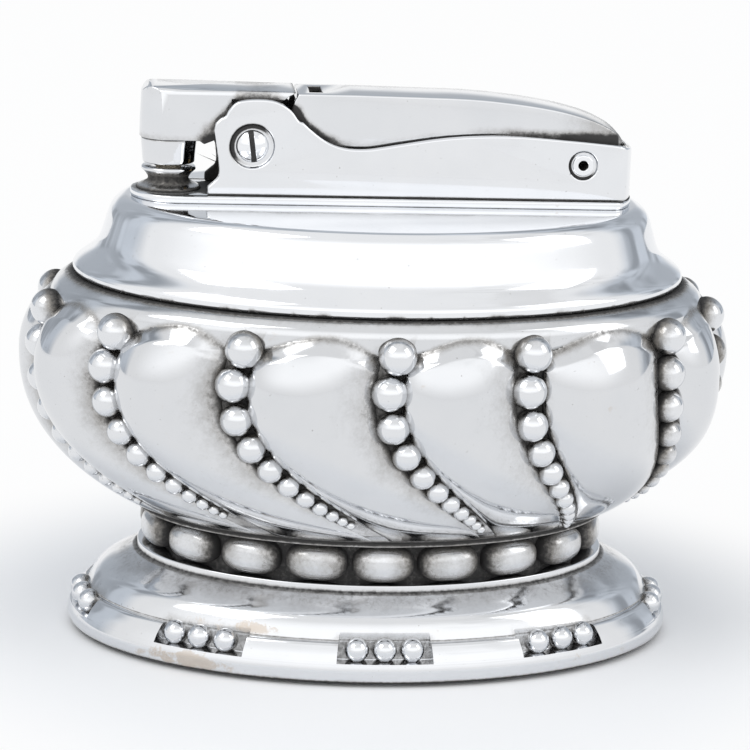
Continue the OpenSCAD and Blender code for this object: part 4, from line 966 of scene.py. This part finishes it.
frame_piece = worked_copy("folded_frame", "frame", ease=0.22, segments=4)
frame_silver = silver_plate("silver_plate_frame", soil=frame_dirt_and_shade, patina_and_shade=0.55, waves=0.6, shade_tone=0.93)
stand_for(frame_piece, frame_silver, "unit", "silver_plate", "frame")


# Pivot: a headed sleeve from the back and a slotted screw in it from the front. The
# snuffer arm and the flint wheel turn on it. The lever turns on a tube rivet.
head_rim_r, rivet_rim_r, rivet_bore_r = 1.95, 1.32, 0.4
slot_lean = 0.1334


def screw_dirt_and_shade(finish, place):
    """Dirt in the head's slot, which leans a little, and round the head, with painted shade in the slot
    and the sink.
    """
    x, y, z = finish.axes(place)
    rim_dirt_and_shade = dark_ring(x, z, pivot_x, pivot_z, head_rim_r, 0.22)
    across = ((x - pivot_x) + (z - pivot_z) * slot_lean).size().between(0.36, 0.28)
    return rim_dirt_and_shade * 0.8 + across * y.size().between(5.05, 4.95) * 0.9


def rivet_dirt_and_shade(finish, place):
    x, y, z = finish.axes(place)
    # Painted shade: the rivet's bore is painted dark, and the ring round its rim is dirt with painted
    # shade.
    bore = dark_ring(x, z, hinge_x, hinge_z, rivet_bore_r, 0.3)
    rim_dirt_and_shade = dark_ring(x, z, hinge_x, hinge_z, rivet_rim_r, 0.16)
    return bore + rim_dirt_and_shade * 0.7


screw_silver = silver_plate("silver_plate_screw", soil=screw_dirt_and_shade, patina_and_shade=0.4, waves=0.1)
for name, node in (("pivot_screw_head", "pivot_screw"), ("pivot_sleeve_head", "pivot_sleeve")):
    stand_for(worked_copy(name, node, ease=0.07), screw_silver, "unit", "silver_plate", node)
rivet_silver = silver_plate("silver_plate_rivet", soil=rivet_dirt_and_shade, patina_and_shade=0.4, waves=0.1, worn=0.9)
rivet = worked_copy("tube_rivet", "hinge_rivet", ease=0.12)
stand_for(rivet, rivet_silver, "unit", "silver_plate", "hinge_rivet")


# Thumb lever: a channel pressed from sheet, with a slot in its top whose punched tongue
# moves the snuffer arm. A wound steel spring on the deck pushes it back up.
lever_front_x = -10.0
lever_top_z = top_z + 11.5
slot_x = -7.92
frame_top = 12.0
frame_edge = [(-20.0, 7.0), (-18.15, 8.95), (-16.8, 10.65), (-14.6, 10.95), (-12.5, 10.73),
              (-10.9, 9.8), (-10.0, 8.65), (-8.8, 7.8), (-7.0, 6.45), (-4.8, 5.6), (-2.2, 5.5),
              (0.3, 5.88), (6.9, 6.95), (13.6, 7.3), (20.4, 6.92), (24.25, 6.62), (26.65, 6.35),
              (28.45, 5.7)]


def above_frame(finish, x, z):
    """Millimetres above the edge of the frame's cheek."""
    start, end = frame_edge[0][0], frame_edge[-1][0]
    stops = [((ex - start) / (end - start), (eh / frame_top,) * 3) for ex, eh in frame_edge]
    along = (x - start) / (end - start)
    edge = finish.add("ShaderNodeValToRGB", {"stops": stops}, [along])
    return z - top_z - edge * frame_top


def lever_dirt_and_shade(finish, place):
    """Dirt where the cheeks run into the frame, at the nose, in the slot and at the tail, with painted
    shade where the cheeks pass behind the frame and in the slot.
    """
    x, y, z = finish.axes(place)
    # Painted shade with dirt where the cheeks pass behind the frame's edge.
    near_frame = above_frame(finish, x, z).between(1.5, 0.1)
    ends = x.between(-3.0, -7.0) * 0.34 + x.between(9.0, 18.0) * 0.28
    low_edge = near_frame * (0.32 + ends) * y.size().between(3.2, 3.5)
    nose = x.between(lever_front_x + 1.4, lever_front_x - 0.4)
    front_edge = nose * z.between(lever_top_z - 0.4, lever_top_z - 2) * 0.8
    slot = (x - slot_x).size().between(0.85, 0.6) * y.size().between(2.4, 2.1) * 0.9
    tail = x.between(17.5, 25.0) * 0.36 + x.between(24.5, 27.2) * 0.2
    return low_edge + front_edge + slot + tail


lever = worked_copy("folded_lever", "thumb_lever", ease=0.2, segments=4)
lever_silver = silver_plate("silver_plate_lever", soil=lever_dirt_and_shade, patina_and_shade=0.7, waves=0.6, shade_tone=0.86)
stand_for(lever, lever_silver, "lever", "silver_plate", "thumb_lever")
spring_steel = machined("spring_steel", (0.42, 0.43, 0.45), grain=0.3, rough=0.28)
spring_low, spring_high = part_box("return_spring")
spring_mid = (spring_low + spring_high) / 2 / mm
wire_r = 0.3
coil_r = (spring_high.x - spring_low.x) / 2 / mm - wire_r
coil_h = (spring_high.z - spring_low.z) / mm - 2 * wire_r
coil_turns, turn_cuts = 6, 40
coil_rows = coil_turns * turn_cuts + 3
wire_sides = 12


def spring_place(column, row):
    share = np.clip((row - 1) / (coil_rows - 3), 0, 1)
    wire = wire_r * ((row > 0) & (row < coil_rows - 1))
    turn, round_wire = 2 * pi * coil_turns * share, 2 * pi * column / wire_sides
    r = coil_r + wire * np.cos(round_wire)
    z = spring_low.z / mm + wire_r + share * coil_h + wire * np.sin(round_wire)
    return spring_mid.x + r * np.cos(turn), spring_mid.y + r * np.sin(turn), z


spring = shaped_grid("coiled_return_spring", wire_sides + 1, coil_rows, spring_place)
stand_for(spring, spring_steel, "unit", "spring_steel", "return_spring")
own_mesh(spring)


# Snuffer: a short channel of sheet that swings up about the pivot, with a turned cap
# pressed into its end. The cap closes the wick tube when the lever is let go.
def arm_dirt_and_shade(finish, place):
    """Dirt along its lower edge, at the frame's dome and at the gap to the lever, with painted shade where
    it passes the dome and in the gap.
    """
    x, y, z = finish.axes(place)
    low_edge = z.between(top_z + 7.2, top_z + 5.7) * 0.34
    # Painted shade with dirt where the arm passes the frame's dome, and in the gap to the lever.
    near_frame = above_frame(finish, x, z).between(1.8, 0.1) * x.between(-22.0, -19.8) * 0.52
    tail_gap = x.between(-11.0, -10.3) * 0.5
    return low_edge + near_frame + tail_gap


def cap_soil(finish, place):
    """Dirt at the joint with the arm and at the cap's mouth."""
    z = finish.axes(place)[2]
    return z.between(top_z + 5.5, top_z + 6.0) * 0.8 + z.between(top_z + 3.25, top_z + 2.95) * 0.6


arm = worked_copy("snuffer_channel", "snuffer_arm", ease=0.1)
arm_silver = silver_plate("silver_plate_arm", soil=arm_dirt_and_shade, patina_and_shade=0.9, shade_tone=0.86)
stand_for(arm, arm_silver, "snuffer", "silver_plate", "snuffer_arm")
cap = worked_copy("turned_cap", "snuffer_cap", ease=0.14)
cap_silver = silver_plate("silver_plate_cap", soil=cap_soil, patina_and_shade=0.9, waves=0.6, shade_tone=0.85)
stand_for(cap, cap_silver, "snuffer", "silver_plate", "snuffer_cap")


# Striking parts: a hardened wheel with file-cut grooves, the ratchet on its side and the
# pawl that drives it; below them the flint, its spring, its brass tube and its screw.
hard_steel = machined("hard_steel", (0.2, 0.2, 0.21), grain=0.3, rough=0.36)
flint_stone = machined("flint_stone", (0.16, 0.145, 0.135), grain=0.2, rough=0.75, metallic=0.2)
brass = machined("tube_brass", (0.78, 0.56, 0.27), rough=0.27)
fibre = machined("vulcan_fibre", (0.32, 0.1, 0.06), grain=0.4, rough=0.7, metallic=0.0)
for node in ("striker_wheel", "ratchet_wheel"):
    finish_node(node, hard_steel)
for node in ("pawl", "flint_spring"):
    finish_node(node, spring_steel)
finish_node("flint", flint_stone)
for node in ("flint_tube", "flint_screw"):
    finish_node(node, brass)


# Wick tube and wick: the tube is turned with a lip that the cap covers. The wick is
# braided cotton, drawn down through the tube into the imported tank.
def tube_soil(finish, place):
    z = finish.axes(place)[2]
    return 0.12 + z.between(top_z + 0.5, top_z) * 0.6 + (z - (top_z + 1.2)).size().between(1.3, 0.1) * 0.5


wick_tube = worked_copy("wick_tube_lip", "wick_tube", ease=0.08)
tube_silver = silver_plate("silver_plate_tube", soil=tube_soil, patina_and_shade=1.2, waves=0.3, shade_tone=0.85)
stand_for(wick_tube, tube_silver, "unit", "silver_plate", "wick_tube")
wick_low, wick_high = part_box("wick")
wick_centre = (wick_low + wick_high) / 2 / mm
wick_r = (wick_high.x - wick_low.x) / 2 / mm
wick_z = np.linspace(wick_low.z / mm, wick_high.z / mm, 161)
strands = 8
braid_pitch, braid_h = 0.9, 0.16
char_h = 0.8
wick_rows = [(0.0, wick_z[0])] + [(1.0, z) for z in wick_z]
wick_rows = np.array(wick_rows + [(0.6, wick_z[-1]), (0.0, wick_z[-1] - 0.2)])
wick_sides = 96


def wick_place(column, row):
    share, z = wick_rows[row, 0], wick_rows[row, 1]
    turn = 2 * pi * column / wick_sides
    braid = 1
    for way in (braid_pitch, -braid_pitch):
        braid = braid * np.abs(np.sin(strands / 2 * (turn + z * way)))
    tip = np.clip((z - wick_z[-1] + char_h) / char_h, 0, 1) ** 2 * 0.18
    r = (wick_r - braid_h + braid_h * braid ** 0.5) * share * (1 - tip)
    return wick_centre.x + r * np.cos(turn), wick_centre.y + r * np.sin(turn), z


wick = shaped_grid("braided_wick", wick_sides + 1, len(wick_rows), wick_place)


char_black = (0.03, 0.026, 0.022)


def fluffy(name, pale, dark, size):
    """Loose cotton hairs, charred above the wick tube's lip."""
    finish = Finish(name)
    place = finish.millimetres()
    hairs = finish.noise(place, size, detail=5, rough=0.75)
    char = finish.axes(place)[2].between(top_z + 3.2, top_z + 4.3) * 0.9
    colour = finish.mix(char, finish.mix(hairs, dark, pale), char_black)
    finish.set(Base_Color=colour, Roughness=0.93, Sheen_Weight=0.25, Normal=finish.bump(hairs, 0.15))
    return finish.material


cotton = fluffy("wick_cotton", (0.78, 0.72, 0.6), (0.52, 0.46, 0.36), 0.3)
stand_for(wick, cotton, "unit", "cotton", "wick")


# Tank: a brass box with round ends under the cover, full of cotton packing that holds the
# fuel. It is filled from below, where a screw with a fibre washer closes it.
for node in ("tank", "filler_screw"):
    finish_node(node, brass)
finish_node("filler_washer", fibre)
pack_low, pack_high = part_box("tank_packing")
pack_l, pack_w = (pack_high.x - pack_low.x) / mm, (pack_high.y - pack_low.y) / mm
pack_heights = np.linspace(pack_low.z / mm, pack_high.z / mm, 40)
pack_rows = [(0.0, pack_heights[0])] + [(1.0, z) for z in pack_heights] + [(0.0, pack_heights[-1])]
pack_rows = np.array(pack_rows)
pack_sides = 240
lump_h = 0.12


def pack_place(column, row):
    share, z = pack_rows[row, 0], pack_rows[row, 1]
    turn = 2 * pi * column / pack_sides
    r = pack_w / 2 - lump_h * (1 + np.sin(9 * turn + z) * np.sin(1.3 * z + 5 * turn))
    end = np.sign(np.cos(turn)) * np.clip(np.abs(np.cos(turn)) * 3, 0, 1) * (pack_l - pack_w) / 2
    return (end + r * np.cos(turn)) * share, r * np.sin(turn) * share, z


packing = shaped_grid("cotton_packing", pack_sides + 1, len(pack_rows), pack_place)
packing_cotton = fluffy("packing_cotton", (0.86, 0.84, 0.78), (0.7, 0.67, 0.6), 0.6)
stand_for(packing, packing_cotton, "unit", "cotton", "tank_packing")
